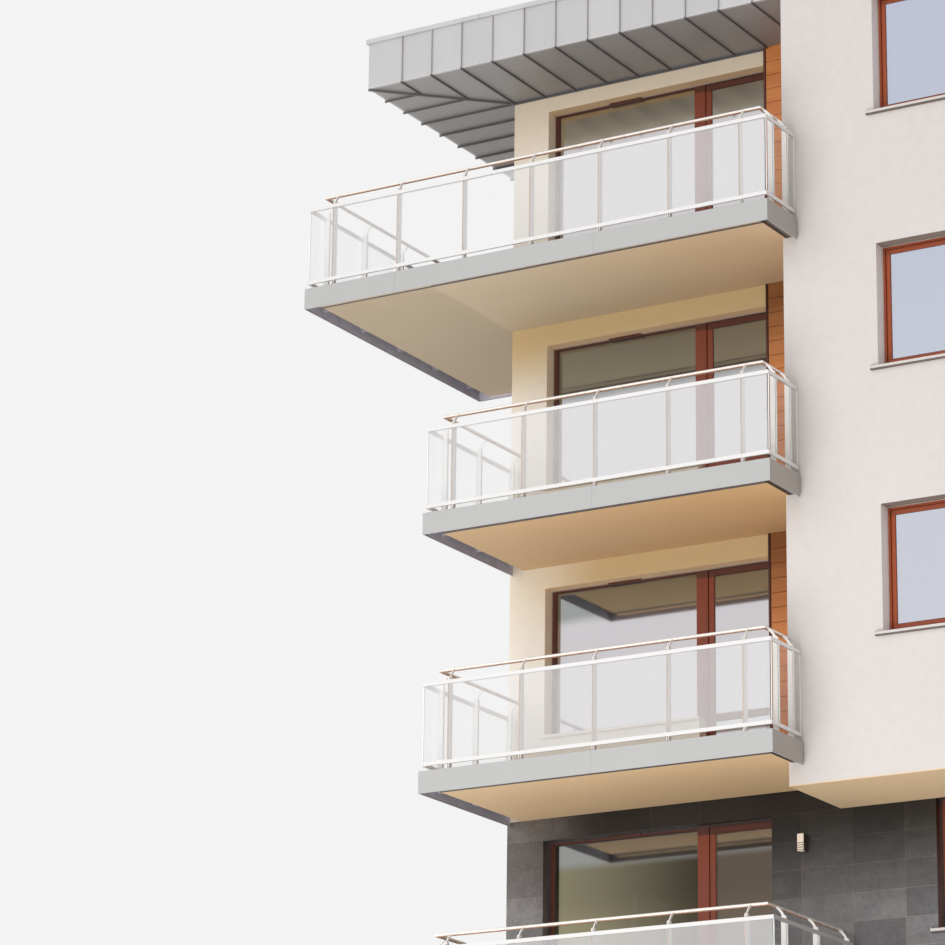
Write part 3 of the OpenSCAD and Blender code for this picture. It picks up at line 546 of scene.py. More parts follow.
def slate(name, tone):
    """Cleft stone, in which a value about 1 sets how light each slab is."""
    paint = Finish(name, roughness=0.3)
    slab_tone = tone(paint)
    mottle = paint.noise(size=0.045, detail=5.0)
    cleft = paint.noise(size=0.16, detail=4.0, place=paint.stretched(1.0, 1.0, 2.2))
    flecks = paint.noise(size=0.004, detail=2.0)
    clouds = paint.noise(size=0.2, detail=4.0)
    on_front = 1 - paint.y.over(front_y + front_depth)
    # Painted shade just below the upper storeys, weaker at the outer corners, which get painted
    # light
    painted_shade = (paint.z + cleft * 0.3).fade(*painted_shade_heights) * on_front
    lower = 1 - paint.z.fade(*lighter_heights)
    lit_outer_corner = paint.x.size().fade(*lit_corner_span) * on_front
    shade_strength = painted_shade * (0.93 - lit_outer_corner * 0.4)
    mottle_and_shade = (0.24 + mottle * 0.75 + clouds * 0.80 + flecks * 0.1) * (1 - shade_strength)
    tone_here = slab_tone * mottle_and_shade * (1 + lower * 0.22 + lit_outer_corner * 0.8)
    hue = paint.blend(fresh_slate, dull_and_shaded_slate, paint.noise(size=0.5) * 0.4 + painted_shade * 0.6)
    stone = paint.shaded(hue, tone_here)
    paint.lay("Base Color", stone)
    paint.lay("Roughness", 0.24 + mottle * 0.22)
    paint.relief(cleft + flecks * 0.08, depth=0.004, strength=0.5)
    return paint, stone, painted_shade


def slab_own_tone(paint):
    """A tone for each slab, by the number that its faces carry."""
    number = paint.add("ShaderNodeAttribute", {"attribute_name": "slab"}, None, "Fac")
    return 1.03 + paint.chance(number) * 1.08


slate_slab, _, _ = slate("slate_slab", slab_own_tone)
print("slate is mixed")

# %% Mix the facing of mortar and stone
reveal_tone = 1.3
skin = 0.003
slate_reveal, reveal_stone, in_shade = slate("slate_reveal", lambda paint: reveal_tone)
outer_front = 1 - (slate_reveal.y - (front_y + skin)).over(0)
outer_rear = slate_reveal.y.over(rear_y - skin)
outer_sides = slate_reveal.x.size().over(side_x - skin)
outer_face = outer_front.either(outer_rear).either(outer_sides)
mortar_sand = slate_reveal.noise(size=0.003)
# The mortar joints also get the painted shade below the upper storeys
mortar_tone = (0.8 + mortar_sand * 0.4) * (1 - in_shade * 0.8)
mortar = slate_reveal.shaded(colour(0.36, 0.275, 0.24), mortar_tone)
slate_reveal.lay("Base Color", slate_reveal.blend(reveal_stone, mortar, outer_face))
dress("slate_facing", slate_reveal)
print("slate and mortar are on")

# %% [markdown]
# ## Coated and weathered sheet
#
# The balcony edges are coated sheet, smooth and satin, which bulges a little between its
# fixings. The roof edge is zinc with a weathered skin: each tray between two seams has
# its own tone, with soft water marks that run down its face. Sills are folded from the
# same sheet as the balcony edges, a little warmer. A tray's tone comes from its number,
# which is worked out from the place, so the long roof edge can stay one mesh.

# %% Mix the coated sheet
def sheet_metal(name, base, roughness, metallic, cloud):
    """Coated sheet with slight bulges and faint marks."""
    paint = Finish(name, roughness, metallic)
    bulge = paint.noise(size=0.55, detail=1.0)
    marks = paint.noise(size=0.03, detail=4.0, place=paint.stretched(1.0, 1.0, 0.12))
    tone = 1 + (paint.noise(size=0.9, detail=2.0) - 0.5) * cloud + (marks - 0.5) * cloud
    sheet_colour = paint.shaded(base, tone)
    paint.lay("Base Color", sheet_colour)
    paint.lay("Roughness", roughness - 0.05 + marks * 0.1)
    paint.relief(bulge, depth=0.006, strength=0.25)
    return paint, sheet_colour


edge_base = colour(0.445, 0.443, 0.437)
shaded_short_edge = colour(0.42, 0.385, 0.355)
edge_sheet, edge_colour = sheet_metal("edge_sheet", edge_base, roughness=0.45,
                                      metallic=0.25, cloud=0.05)
# The short end faces are painted darker and warmer as painted shade
edge_sheet.lay("Base Color", edge_sheet.blend(
    edge_colour, shaded_short_edge, edge_sheet.facing("X")))
dress("balcony_fascias", edge_sheet)
print("balcony edges are coated")

# %% Coat the sills
sill_base = colour(0.58, 0.55, 0.52)
sill_shade = colour(0.13, 0.10, 0.085)
sill_sheet, _ = sheet_metal("sill_sheet", sill_base, roughness=0.5, metallic=0.1, cloud=0.08)

# The hems and undersides of the sills stay in their own shade, which is painted dark as painted
# shade
hem = 0.013
downwards = 0.6
lowest_sill = min(solids("window_sills"), key=lambda sill: sill.low.z)
hem_level = (lowest_sill.low.z - ground_step) % storey_height
sill_level = height_above_floor(sill_sheet)
on_hem = (1 - sill_level.over(hem_level + hem)) * sill_level.over(hem_level - hem)
sill_colour = sill_sheet.blend(sill_base, sill_shade, on_hem)
sill_looks_down = sill_sheet.outlook("Z") * -1
sill_sheet.lay("Base Color", sill_sheet.blend(
    sill_colour, sill_shade, sill_looks_down.over(downwards)))
dress("window_sills", sill_sheet)
print("sills are coated")

# %% Weather the zinc
tray_width = 0.433
trays_apart = 37


def weathered_zinc(name, base):
    """Zinc sheet in trays, each with a tone of its own, under water marks and patina."""
    paint = Finish(name, roughness=0.5, metallic=0.35)
    tray_along = ((paint.x + side_x) / tray_width).floor()
    tray_across = ((paint.y - front_y) / tray_width).floor()
    tray = tray_along + tray_across * trays_apart
    water = paint.noise(size=0.05, detail=5.0, place=paint.stretched(1.0, 1.0, 0.09))
    patina = paint.noise(size=0.35, detail=5.0)
    tone = 0.94 + paint.chance(tray) * 0.07 + (water - 0.5) * 0.06 + (patina - 0.5) * 0.09
    finish_colour = paint.shaded(base, tone)
    paint.lay("Base Color", finish_colour)
    paint.lay("Roughness", 0.42 + patina * 0.2)
    paint.relief(paint.noise(size=0.22, detail=1.0), depth=0.004, strength=0.3)
    return paint, finish_colour


zinc, _ = weathered_zinc("zinc", colour(0.55, 0.54, 0.542))
dress("roof_cladding", zinc)

# The metal soffit is lighter towards the outer ends of the roof
light_end_span = (4.5, 7.6)
light_end_tone = 1.22
soffit_zinc, soffit_sheen = weathered_zinc("soffit_zinc", colour(0.33, 0.315, 0.305))
outer_sheen = soffit_zinc.shaded(soffit_sheen, light_end_tone)
outer_end = soffit_zinc.x.size().fade(*light_end_span)
soffit_zinc.lay("Base Color", soffit_zinc.blend(soffit_sheen, outer_sheen, outer_end))
dress("roof_soffit", soffit_zinc)

seam_zinc, seam_colour = weathered_zinc("seam_zinc", colour(0.50, 0.485, 0.485))
seam_shade = colour(0.17, 0.155, 0.16)
seam_zinc.lay("Base Color", seam_zinc.blend(
    seam_shade, seam_colour, seam_zinc.z.over(soffit_level)))
dress("roof_seams", seam_zinc)
print("zinc is on")

# %% Joint the roof cap
cap_length = 2.0
cap_joint = 0.004
cap_joint_colour = colour(0.10, 0.095, 0.1)
side_eave = side_x + 1
cap_zinc, cap_colour = weathered_zinc("cap_zinc", colour(0.58, 0.57, 0.57))


def cap_joints_along(axis_value):
    """1 in the joints between lengths of cap that run along an axis."""
    return 1 - (axis_value / cap_length).fraction().over(cap_joint / cap_length)


joints_along_x = cap_joints_along(cap_zinc.x)
joints_along_y = cap_joints_along(cap_zinc.y)
on_side_caps = cap_zinc.x.size().over(side_eave)
joint_line = joints_along_x + (joints_along_y - joints_along_x) * on_side_caps
cap_zinc.lay("Base Color", cap_zinc.blend(cap_colour, cap_joint_colour, joint_line))
dress("roof_cap", cap_zinc)
print("the roof cap is jointed")

# %% [markdown]
# ## Brushed steel
#
# Posts, rails and handrails are stainless steel with a fine brushed finish. Its scratches
# run along each member. They are noise that is squeezed across the member, and a face
# takes the long axis of its own member: upright on the posts, level on the rails. The posts
# are near white and almost matt, a painted reflection of the bright sky, and their side
# faces carry painted shade. The feet of the posts sit behind the edge sheets, in shade,
# which is painted on them, and the polished handrails mirror the warm colours below them,
# which is painted on their undersides as a painted reflection.

# %% Mix the steel
upright_run = (1.0, 1.0, 0.03)
level_run = (0.03, 0.03, 1.0)


def brushed(name, base, roughness, run, metallic=0.55):
    """Steel whose scratches follow a direction, given as how far each axis is squeezed."""
    paint = Finish(name, roughness, metallic)
    scratches = paint.noise(size=0.0016, detail=3.0, place=paint.stretched(*run))
    smudges = paint.noise(size=0.12, detail=3.0)
    sheen = paint.shaded(base, 0.96 + scratches * 0.06 + smudges * 0.02)
    paint.lay("Base Color", sheen)
    paint.lay("Roughness", roughness - 0.08 + scratches * 0.12 + smudges * 0.08)
    paint.relief(scratches, depth=0.0002, strength=0.4)
    return paint, sheen


level_steel, _ = brushed("level_steel", colour(0.82, 0.805, 0.79), roughness=0.32,
                         run=level_run)
dress("glass_rails", level_steel)
print("rails are brushed")

# %% Brush the posts
# A near-white, almost matt base is a painted reflection of the bright sky
post_sky_reflection = colour(0.97, 0.95, 0.92)
post_flank_shade = colour(0.92, 0.88, 0.84)
post_foot_shade = colour(0.36, 0.34, 0.38)
foot_level = 2.7
upright_steel, post_sheen = brushed("upright_steel", post_sky_reflection, roughness=0.38,
                                    run=upright_run, metallic=0.05)
# Side faces get painted shade, and the feet below the balcony get painted shade
post_sheen = upright_steel.blend(post_sheen, post_flank_shade, upright_steel.facing("X"))
below_balcony = height_above_floor(upright_steel).over(foot_level)
upright_steel.lay("Base Color", upright_steel.blend(post_sheen, post_foot_shade, below_balcony))
dress("railing_posts", upright_steel)
print("posts are brushed")

# %% Polish the handrails
handrail_base = colour(0.96, 0.91, 0.86)
handrail_underside_reflection = colour(0.50, 0.29, 0.19)
underside_span = (0.2, 0.7)
handrail_steel, handrail_sheen = brushed("handrail_steel", handrail_base, roughness=0.26,
                                         run=level_run, metallic=0.35)
# The undersides carry a painted reflection of the warm colours below
looks_down = (handrail_steel.outlook("Z") * -1).fade(*underside_span)
handrail_steel.lay("Base Color", handrail_steel.blend(
    handrail_sheen, handrail_underside_reflection, looks_down))
dress("handrails", handrail_steel)
print("handrails are polished")

# %% [markdown]
# ## Glass
#
# Three panes need three recipes. Window glass is sealed and coated: it mirrors the light
# from above, and its colour adds a painted reflection that is bluer high up, and painted
# shade under the reveal on the stone storeys. In the balcony windows the colour is a
# painted reflection that is darker near the head, where the eye meets the dark ceiling of
# the room and the mirrored soffit, and on the stone storeys it lets more of the dark room
# through, under painted reflections of the surroundings. Railing glass is clear, but it
# mirrors the brightness in front of it too, which lays a pale veil over what is behind it.
# The front panes face the open, and the panes of the short sides face the wall of the bay,
# so their veil is thinner. All are coloured mirrors with some Alpha, rather than refracting
# solids, because light passes them straight.

# %% Mix the sealed glass
def coated_glass(name, roughness, stone_tint, upper_tint):
    """Sealed glass, darker and clearer on the stone storeys than above them."""
    paint = Finish(name, roughness, metallic=1.0)
    is_upper = paint.z.over(slate_top)
    paint.lay("Base Color", paint.blend(stone_tint(paint), upper_tint(paint), is_upper))
    paint.lay("Alpha", 0.70 + is_upper * 0.20)
    paint.relief(paint.noise(size=0.9, detail=1.0), depth=0.0008, strength=0.25)
    return paint


print("sealed glass is ready to tint")

# %% Glaze the plain windows
reveal_shade_heights = (1.3, 2.6)
bluer_heights = (slate_top + 1, top_floor + 2)


def stone_window_tint(paint):
    """Painted shade: darker towards the head, under the reveal."""
    return paint.blend(colour(0.31, 0.31, 0.285), colour(0.17, 0.16, 0.145),
                       height_above_floor(paint).fade(*reveal_shade_heights))


def upper_window_tint(paint):
    """A painted reflection of the sky: bluer and a little darker towards the top of the block."""
    wander = (paint.noise(size=2.2, detail=2.0) - 0.5) * 3
    return paint.blend(colour(0.73, 0.75, 0.825), colour(0.63, 0.67, 0.80),
                       (paint.z + wander).fade(*bluer_heights))


window_glass = coated_glass("window_glass", 0.03, stone_window_tint, upper_window_tint)
dress("window_panes", window_glass)
print("plain windows are glazed")

# %% Glaze the balcony windows
door_edge = 3.74
room_span = (3.4, 6.0)
dim_heights = (1.3, 1.9)
stone_head_heights = (2.15, 2.3)
upper_head_heights = (1.76, 1.92)
# Painted reflections: the room with mirrored surroundings, and the mirrored soffit at the heads
room_and_reflection_by_bay = colour(0.055, 0.042, 0.030)
room_and_reflection_at_corner = colour(0.34, 0.31, 0.20)
room_and_reflection_behind_door = colour(0.165, 0.13, 0.10)
stone_head_reflection = colour(0.42, 0.42, 0.41)
mirrored_light = colour(0.74, 0.71, 0.735)
dark_head_reflection = colour(0.40, 0.42, 0.405)
top_storey_head_reflection = colour(0.68, 0.61, 0.47)


def stone_balcony_tint(paint):
    """Painted reflections over the dark room behind the door and the fixed light, and a paler
    painted reflection at the head.
    """
    height = height_above_floor(paint)
    from_middle = paint.x.size()
    fixed_light = paint.blend(room_and_reflection_by_bay, room_and_reflection_at_corner, from_middle.fade(*room_span))
    lights = paint.blend(room_and_reflection_behind_door, fixed_light, from_middle.over(door_edge))
    lights = paint.shaded(lights, 1.45 - height.fade(*dim_heights) * 0.45)
    return paint.blend(lights, stone_head_reflection, height.fade(*stone_head_heights))


def upper_balcony_tint(paint):
    """A painted reflection of the soffit: darker towards the head of each light, and on the last
    storey also more matt there.
    """
    wander = (paint.noise(size=1.1, detail=2.0) - 0.5) * 0.1
    first_above_stone = 1 - paint.z.over(slate_top + storey_height)
    last_storey = paint.z.over(top_floor)
    height = height_above_floor(paint) + wander - first_above_stone * 0.3 - last_storey * 0.25
    near_head = height.fade(*upper_head_heights)
    paint.lay("Roughness", 0.05 + last_storey * near_head * 0.15)
    head_reflection = paint.blend(dark_head_reflection, top_storey_head_reflection, last_storey)
    return paint.blend(mirrored_light, head_reflection, near_head)


balcony_glass = coated_glass("balcony_glass", 0.05, stone_balcony_tint, upper_balcony_tint)
dress("balcony_panes", balcony_glass)
print("balcony windows are glazed")

# %% Glaze the railings
railing_glass = Finish("railing_glass", roughness=0.04, metallic=1.0)
veil = railing_glass.noise(size=0.7, detail=3.0)
side_pane = railing_glass.facing("X")
railing_glass.lay("Base Color", railing_glass.blend(
    colour(0.99, 0.985, 0.99), colour(1.0, 1.0, 1.0), veil))
railing_glass.lay("Alpha", 0.32 + veil * 0.06 - side_pane * 0.28)
dress("railing_glass", railing_glass)
print("railings are glazed")

# %% [markdown]
# ## Stained and varnished timber
#
# The frames are stained red-brown, and the boards beside the bay are orange-brown with a
# clear varnish. Grain is noise that is squeezed along the board. A frame has upright and
# level members, which meet at known heights in every storey, so the grain turns with the
# height above the floor. One texture for each member would need a mesh for each of them.

# %% Stain the frames
upright_grain = (1.0, 1.0, 0.04)
level_grain = (0.04, 0.04, 1.0)
head_member_from = 2.43
sill_member_from = 1.08
sill_member_to = 1.2
foot_member_to = 0.135
edge_member = 0.11


def grain_layers(paint, place):
    """Fine pores and wide growth rings, as two values from 0 to 1."""
    pores = paint.noise(size=0.0028, detail=4.0, place=place)
    rings = paint.noise(size=0.035, detail=3.0, place=place)
    return pores, rings


def stained_timber(name, base, painted_shade):
    """Stained frames. The painted shade colour keeps to the edges that sit in a deep reveal."""
    paint = Finish(name, roughness=0.38)
    above_floor = height_above_floor(paint)
    head_member = above_floor.over(head_member_from)
    sill_member = above_floor.over(sill_member_from) * (1 - above_floor.over(sill_member_to))
    foot_member = 1 - above_floor.over(foot_member_to)
    grain_place = paint.add("ShaderNodeMix", {"data_type": "VECTOR"}, {
        "Factor_Float": head_member.either(sill_member).either(foot_member),
        "A_Vector": paint.stretched(*upright_grain),
        "B_Vector": paint.stretched(*level_grain)}, "Result_Vector")
    pores, rings = grain_layers(paint, grain_place)
    outer_member_x = abs(balcony_frames[0].low.x) - edge_member
    # The head and the outer side sit in a deep reveal and get painted shade
    in_reveal_shade = head_member.either(paint.x.size().over(outer_member_x))
    hue = paint.blend(base, painted_shade, in_reveal_shade)
    paint.lay("Base Color", paint.shaded(hue, 0.78 + pores * 0.22 + rings * 0.24))
    paint.lay("Roughness", 0.34 + pores * 0.14)
    paint.relief(pores, depth=0.0004, strength=0.5)
    return paint


stained = stained_timber("stained_timber", base=colour(0.33, 0.068, 0.022),
                         painted_shade=colour(0.25, 0.052, 0.02))
deep_stained = stained_timber("deep_stained_timber", base=colour(0.235, 0.052, 0.024),
                              painted_shade=colour(0.10, 0.03, 0.018))
dress("window_frames", stained)
dress("balcony_frames", deep_stained)
dress("entrance_door", deep_stained)
print("frames are stained")

# %% Varnish the boards
board_pitch = 0.173
board_start = 0.02
grain_shift = 7.3
pale_board = colour(0.56, 0.21, 0.062)
deep_board = colour(0.47, 0.155, 0.045)
strip_colour = colour(0.10, 0.03, 0.018)
board_shade_heights = (1.5, 2.7)
varnished = Finish("varnished_boards", roughness=0.4)
board_number = ((varnished.z + board_start) / board_pitch).floor()
shifted = varnished.joined(varnished.x * 0.05 + board_number * grain_shift, varnished.y,
                           varnished.z)
board_pores, board_rings = grain_layers(varnished, shifted)
board_hue = varnished.blend(pale_board, deep_board, varnished.chance(board_number))

# Boards under a beige soffit get painted shade, darker towards it
under_slab = 1 - varnished.z.over(top_floor)
near_slab = height_above_floor(varnished).fade(*board_shade_heights) * under_slab
board_shade = (0.80 + board_pores * 0.18 + board_rings * 0.26) * (1.27 - near_slab * 0.83)
edge_strip = min(solids("timber_boards"), key=lambda board: board.size.x)
on_edge_strip = varnished.x.size().over(abs(edge_strip.middle.x) - edge_strip.size.x)
board_and_strip = varnished.blend(board_hue, strip_colour, on_edge_strip)
varnished.lay("Base Color", varnished.shaded(board_and_strip, board_shade))
varnished.lay("Roughness", 0.36 + board_pores * 0.12)
varnished.relief(board_pores, depth=0.0005, strength=0.5)
dress("timber_boards", varnished)
print("boards are varnished")

# %% [markdown]
# ## Lamps, roofing and small trim
#
# The wall lamps are satin metal with a warm tone. The flat roof is sealed with dark
# mineral roofing sheet, whose grit gives it a fine sparkle and a matt look. Rubber,
# sealant, rivets and primer only show as thin lines, so a base colour with faint spots is
# enough for them, and one function mixes them all.

# %% Finish the lamps and the roof
lamp_shade = colour(0.07, 0.055, 0.045)
lamp_run = (1.0, 1.0, 0.05)
lamp_metal, lamp_sheen = brushed("lamp_metal", colour(0.97, 0.85, 0.71), roughness=0.42,
                                 run=lamp_run, metallic=0.3)
lamp_depth = solids("wall_lamps")[0].size.y
behind_body = lamp_metal.y.over(front_y - lamp_depth / 2)
in_lamp_shade = lamp_metal.facing("X").either(behind_body)
lamp_metal.lay("Base Color", lamp_metal.blend(lamp_sheen, lamp_shade, in_lamp_shade))
dress("wall_lamps", lamp_metal)

roofing = Finish("roofing_sheet", roughness=0.92)
grit = roofing.noise(size=0.003, detail=2.0)
puddles = roofing.noise(size=1.4, detail=4.0)
roofing.lay("Base Color", roofing.shaded(colour(0.12, 0.12, 0.125),
                                         0.6 + grit * 0.5 + puddles * 0.4))
roofing.relief(grit, depth=0.002, strength=0.7)
dress("roof_deck", roofing)
print("lamps and roofing are on")

# %% Mix the finishes of small trim
def faintly_spotted(name, base, roughness, spot, spread, metallic=0.0):
    """One colour, whose tone runs in small spots over a spread about 1."""
    paint = Finish(name, roughness, metallic)
    paint.lay("Base Color", paint.shaded(base, 1 - spread / 2 + paint.noise(spot) * spread))
    return paint


rubber = faintly_spotted("seal_rubber", colour(0.05, 0.048, 0.05), roughness=0.55,
                         spot=0.02, spread=0.4)
dark_backing = faintly_spotted("dark_backing", colour(0.045, 0.03, 0.022), roughness=0.9,
                               spot=0.01, spread=0.4)
rivet_metal = faintly_spotted("rivet_metal", colour(0.30, 0.30, 0.30), roughness=0.4,
                              spot=0.01, spread=0.3, metallic=0.5)
louvre_shade = faintly_spotted("louvre_shade", colour(0.20, 0.175, 0.175), roughness=0.6,
                               spot=0.02, spread=0.4)
# The post gaskets are dark brown, which is also painted shade for the gap between the bars
gasket_brown = faintly_spotted("gasket_brown", colour(0.40, 0.27, 0.20), roughness=0.6,
                               spot=0.03, spread=0.4)
opal = faintly_spotted("opal_glass", colour(0.78, 0.77, 0.74), roughness=0.5, spot=0.02, spread=0.1)
primer = faintly_spotted("grey_primer", colour(0.58, 0.55, 0.62), roughness=0.7,
                         spot=0.15, spread=0.4)
# The folded trim under the soffit is painted dark as painted shade
dark_zinc, _ = weathered_zinc("dark_zinc", colour(0.16, 0.155, 0.17))
shade_sheet, _ = sheet_metal("shade_sheet", colour(0.13, 0.112, 0.10), roughness=0.6,
                             metallic=0.1, cloud=0.08)

# Sealant is dark on the stone and pale on the render
sealant = Finish("pale_sealant", roughness=0.6)
sealant_colour = sealant.blend(colour(0.09, 0.075, 0.07), colour(0.46, 0.44, 0.42),
                               sealant.z.over(slate_top))
sealant.lay("Base Color", sealant.shaded(sealant_colour, 0.85 + sealant.noise(size=0.03) * 0.3))

# The cut edges of the railing panes are painted pale as a painted highlight
painted_edge_highlight = Finish("glass_edge", roughness=0.2)
painted_edge_highlight.lay("Base Color", painted_edge_highlight.blend(
    colour(0.86, 0.89, 0.87), colour(0.92, 0.94, 0.93), painted_edge_highlight.noise(size=0.05)))
print("all finishes are mixed")

# %% [markdown]
# ## Growing pieces with Geometry Nodes
#
# What repeats is grown from a simple base mesh: points for rivets and blocks, lines for
# seals, and faces for stone slabs. The tree does the work once for all of them, and takes
# its sizes as named inputs.
# Its instances are realized and given a material, and the result is kept as a plain mesh.
# Copying meshes in a Python loop would also do, but each change would mean a new loop.

# %% Helpers that run a tree and finish a piece
class Grower(Sheet):
    """A Geometry Nodes tree with a geometry input, named sizes and one geometry output."""

    def __init__(self, name, **sizes):
        super().__init__(bpy.data.node_groups.new(name, "GeometryNodeTree"))
        kinds = {float: "NodeSocketFloat", int: "NodeSocketInt"}
        interface = self.tree.interface
        interface.new_socket(name="Geometry", in_out="OUTPUT", socket_type="NodeSocketGeometry")
        interface.new_socket(name="Base", in_out="INPUT", socket_type="NodeSocketGeometry")
        interface.new_socket(name="Material", in_out="INPUT", socket_type="NodeSocketMaterial")
        for size, kind in sizes.items():
            interface.new_socket(name=size, in_out="INPUT", socket_type=kinds[kind])
        self.entry = self.tree.nodes.new("NodeGroupInput")
        self.exit = self.tree.nodes.new("NodeGroupOutput")

    def input(self, name):
        return Wire(self, self.entry.outputs[name])

    def end(self, geometry):
        """Realizes the instances, sets the material and ends the tree."""
        real = self.add("GeometryNodeRealizeInstances", None, {"Geometry": geometry})
        sockets = {"Geometry": real, "Material": self.input("Material")}
        done = self.add("GeometryNodeSetMaterial", None, sockets)
        self.tree.links.new(done.socket, self.exit.inputs["Geometry"])


def grow(name, base, grower, finish, slot, **sizes):
    """Runs a tree over a base mesh, keeps its result as a plain mesh and seats the piece."""
    piece = bpy.data.objects.new(name, base)
    bpy.context.scene.collection.objects.link(piece)
    modifier = piece.modifiers.new(name, "NODES")
    modifier.node_group = grower.tree
    values = dict(sizes, Material=finish.material)
    for item in grower.tree.interface.items_tree:
        if item.in_out == "INPUT" and item.name in values:
            modifier[item.identifier] = values[item.name]
    seen = bpy.context.evaluated_depsgraph_get()
    grown = bpy.data.meshes.new_from_object(piece.evaluated_get(seen))
    piece.modifiers.clear()
    piece.data = grown
    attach(piece, "root")
    triangles = sum(len(face.vertices) - 2 for face in grown.polygons)
    print(name, "has", triangles, "triangles")


def points_mesh(points, **attributes):
    """A mesh of loose points, each with vectors such as its aim or its size."""
    mesh = bpy.data.meshes.new("points")
    mesh.from_pydata([tuple(point) for point in points], [], [])
    for name, vectors in attributes.items():
        layer = mesh.attributes.new(name, "FLOAT_VECTOR", "POINT")
        for item, vector in zip(layer.data, vectors):
            item.vector = vector
    return mesh


print("trees can be run")

# %% [markdown]
# ### Three trees
#
# Studs are short tapered pins that stand on points and look along an attribute. Blocks
# are boxes on points, each with a size of its own. Beading runs a round section along
# lines, for gaskets and sealant.

# %% Grow studs on points
stud_taper = 0.7
studs = Grower("studs", Radius=float, Height=float, Sides=int)
stud = studs.add("GeometryNodeMeshCone", None, {
    "Vertices": studs.input("Sides"), "Radius Top": studs.input("Radius") * stud_taper,
    "Radius Bottom": studs.input("Radius"), "Depth": studs.input("Height")}, "Mesh")
aim = studs.add("GeometryNodeInputNamedAttribute", {"data_type": "FLOAT_VECTOR"},
                {"Name": "aim"}, "Attribute")
turn = studs.add("FunctionNodeAlignRotationToVector", {"axis": "Z"}, {"Vector": aim})
studs.end(studs.add("GeometryNodeInstanceOnPoints", None, {
    "Points": studs.input("Base"), "Instance": stud, "Rotation": turn}))
print("studs grow")

# %% Grow blocks on points
unit_size = (1.0, 1.0, 1.0)
blocks = Grower("blocks")
block = blocks.add("GeometryNodeMeshCube", None, {"Size": unit_size}, "Mesh")
block_size = blocks.add("GeometryNodeInputNamedAttribute", {"data_type": "FLOAT_VECTOR"},
                        {"Name": "size"}, "Attribute")
blocks.end(blocks.add("GeometryNodeInstanceOnPoints", None, {
    "Points": blocks.input("Base"), "Instance": block, "Scale": block_size}))


def block_points(boxes):
    """Points and sizes for blocks, given as pairs of opposite corners."""
    middles = [(low + high) / 2 for low, high in boxes]
    sizes = [high - low for low, high in boxes]
    return points_mesh(middles, size=sizes)


print("blocks grow")

# %% Grow beading along lines
beading = Grower("beading", Radius=float, Sides=int)
outline = beading.add("GeometryNodeMeshToCurve", None, {"Mesh": beading.input("Base")})
section = beading.add("GeometryNodeCurvePrimitiveCircle", None, {
    "Resolution": beading.input("Sides"), "Radius": beading.input("Radius")}, "Curve")
beading.end(beading.add("GeometryNodeCurveToMesh", None, {
    "Curve": outline, "Profile Curve": section, "Fill Caps": True}))
print("beading grows")

# %% [markdown]
# ## Slate slabs
#
# Four walls are laid with slabs in a plain grid, with upright joints in line. The grid
# starts at the corner and at a joint that shows in the photograph. A slab that meets an
# opening is cut to it. Each wall is drawn as cells between all joint and opening lines,
# without those that lie in a joint or an opening, and the tree then lifts the cells of
# each slab together, so that an L-shaped slab stays one piece with no false joint.

# %% Set out a wall
slab_length = 0.628
slab_height = 0.317
joint = 0.004
joint_level = 11.36
slab_relief = 0.003
frame_lap = 0.03
column_step = 53
row_step = 7
first_number = 500


def lines_between(low, high, pitch, start, extra):
    """Where a wall's cells begin and end along one direction."""
    marks = {round(low, 4), round(high, 4)}
    first = math.ceil((low - start) / pitch)
    last = math.floor((high - start) / pitch)
    for number in range(first, last + 1):
        marks.add(round(start + number * pitch - joint / 2, 4))
        marks.add(round(start + number * pitch + joint / 2, 4))
    marks.update(round(value, 4) for value in extra)
    return sorted(mark for mark in marks if low - weld < mark < high + weld)


def in_joint(value, start, pitch):
    """Whether a place lies in one of the joints of a grid."""
    away = (value - start) % pitch
    return min(away, pitch - away) < joint / 2


def wall_cells(width, height_from, height_to, holes):
    """The cells of a wall as (x0, x1, z0, z1, slab number), with x from its left end."""
    xs = lines_between(0, width, slab_length, 0, [x for hole in holes for x in hole[:2]])
    zs = lines_between(height_from, height_to, slab_height, joint_level,
                       [z for hole in holes for z in hole[2:]])
    cells = []
    for x0, x1 in zip(xs, xs[1:]):
        for z0, z1 in zip(zs, zs[1:]):
            x = (x0 + x1) / 2
            z = (z0 + z1) / 2
            joined = in_joint(x, 0, slab_length) or in_joint(z, joint_level, slab_height)
            cut = any(hole[0] < x < hole[1] and hole[2] < z < hole[3] for hole in holes)
            if not joined and not cut:
                column = math.floor(x / slab_length)
                row = math.floor((z - joint_level) / slab_height)
                slab_number = column * column_step + row * row_step + first_number
                cells.append((x0, x1, z0, z1, slab_number))
    return cells


def wall_mesh(cells, corner, along, outward):
    """The cells as faces on a wall, whose left corner and outward side are given."""
    work = bmesh.new()
    number = work.faces.layers.float.new("slab")
    corners = {}
    for x0, x1, z0, z1, slab in cells:
        ring = []
        for x, z in ((x0, z0), (x1, z0), (x1, z1), (x0, z1)):
            if (x, z) not in corners:
                corners[(x, z)] = work.verts.new(corner + along * x + Vector((0, 0, z)))
            ring.append(corners[(x, z)])
        work.faces.new(ring)[number] = slab
    for face in work.faces:
        face.normal_update()
        if face.normal.dot(outward) < 0:
            face.normal_flip()
    mesh = bpy.data.meshes.new("wall")
    work.to_mesh(mesh)
    work.free()
    return mesh


print("slabs are", slab_length, "by", slab_height, "with joints of", joint)

# %% Find the holes of each wall
deepest_reveal = 0.5


def hole_on(wall, box):
    """A box as a hole of a wall: its extent along the wall and its heights."""
    corner, along, _, _ = wall
    ends = sorted(((box.low - corner).dot(along), (box.high - corner).dot(along)))
    return [ends[0] + frame_lap, ends[1] - frame_lap, box.low.z, box.high.z - frame_lap]


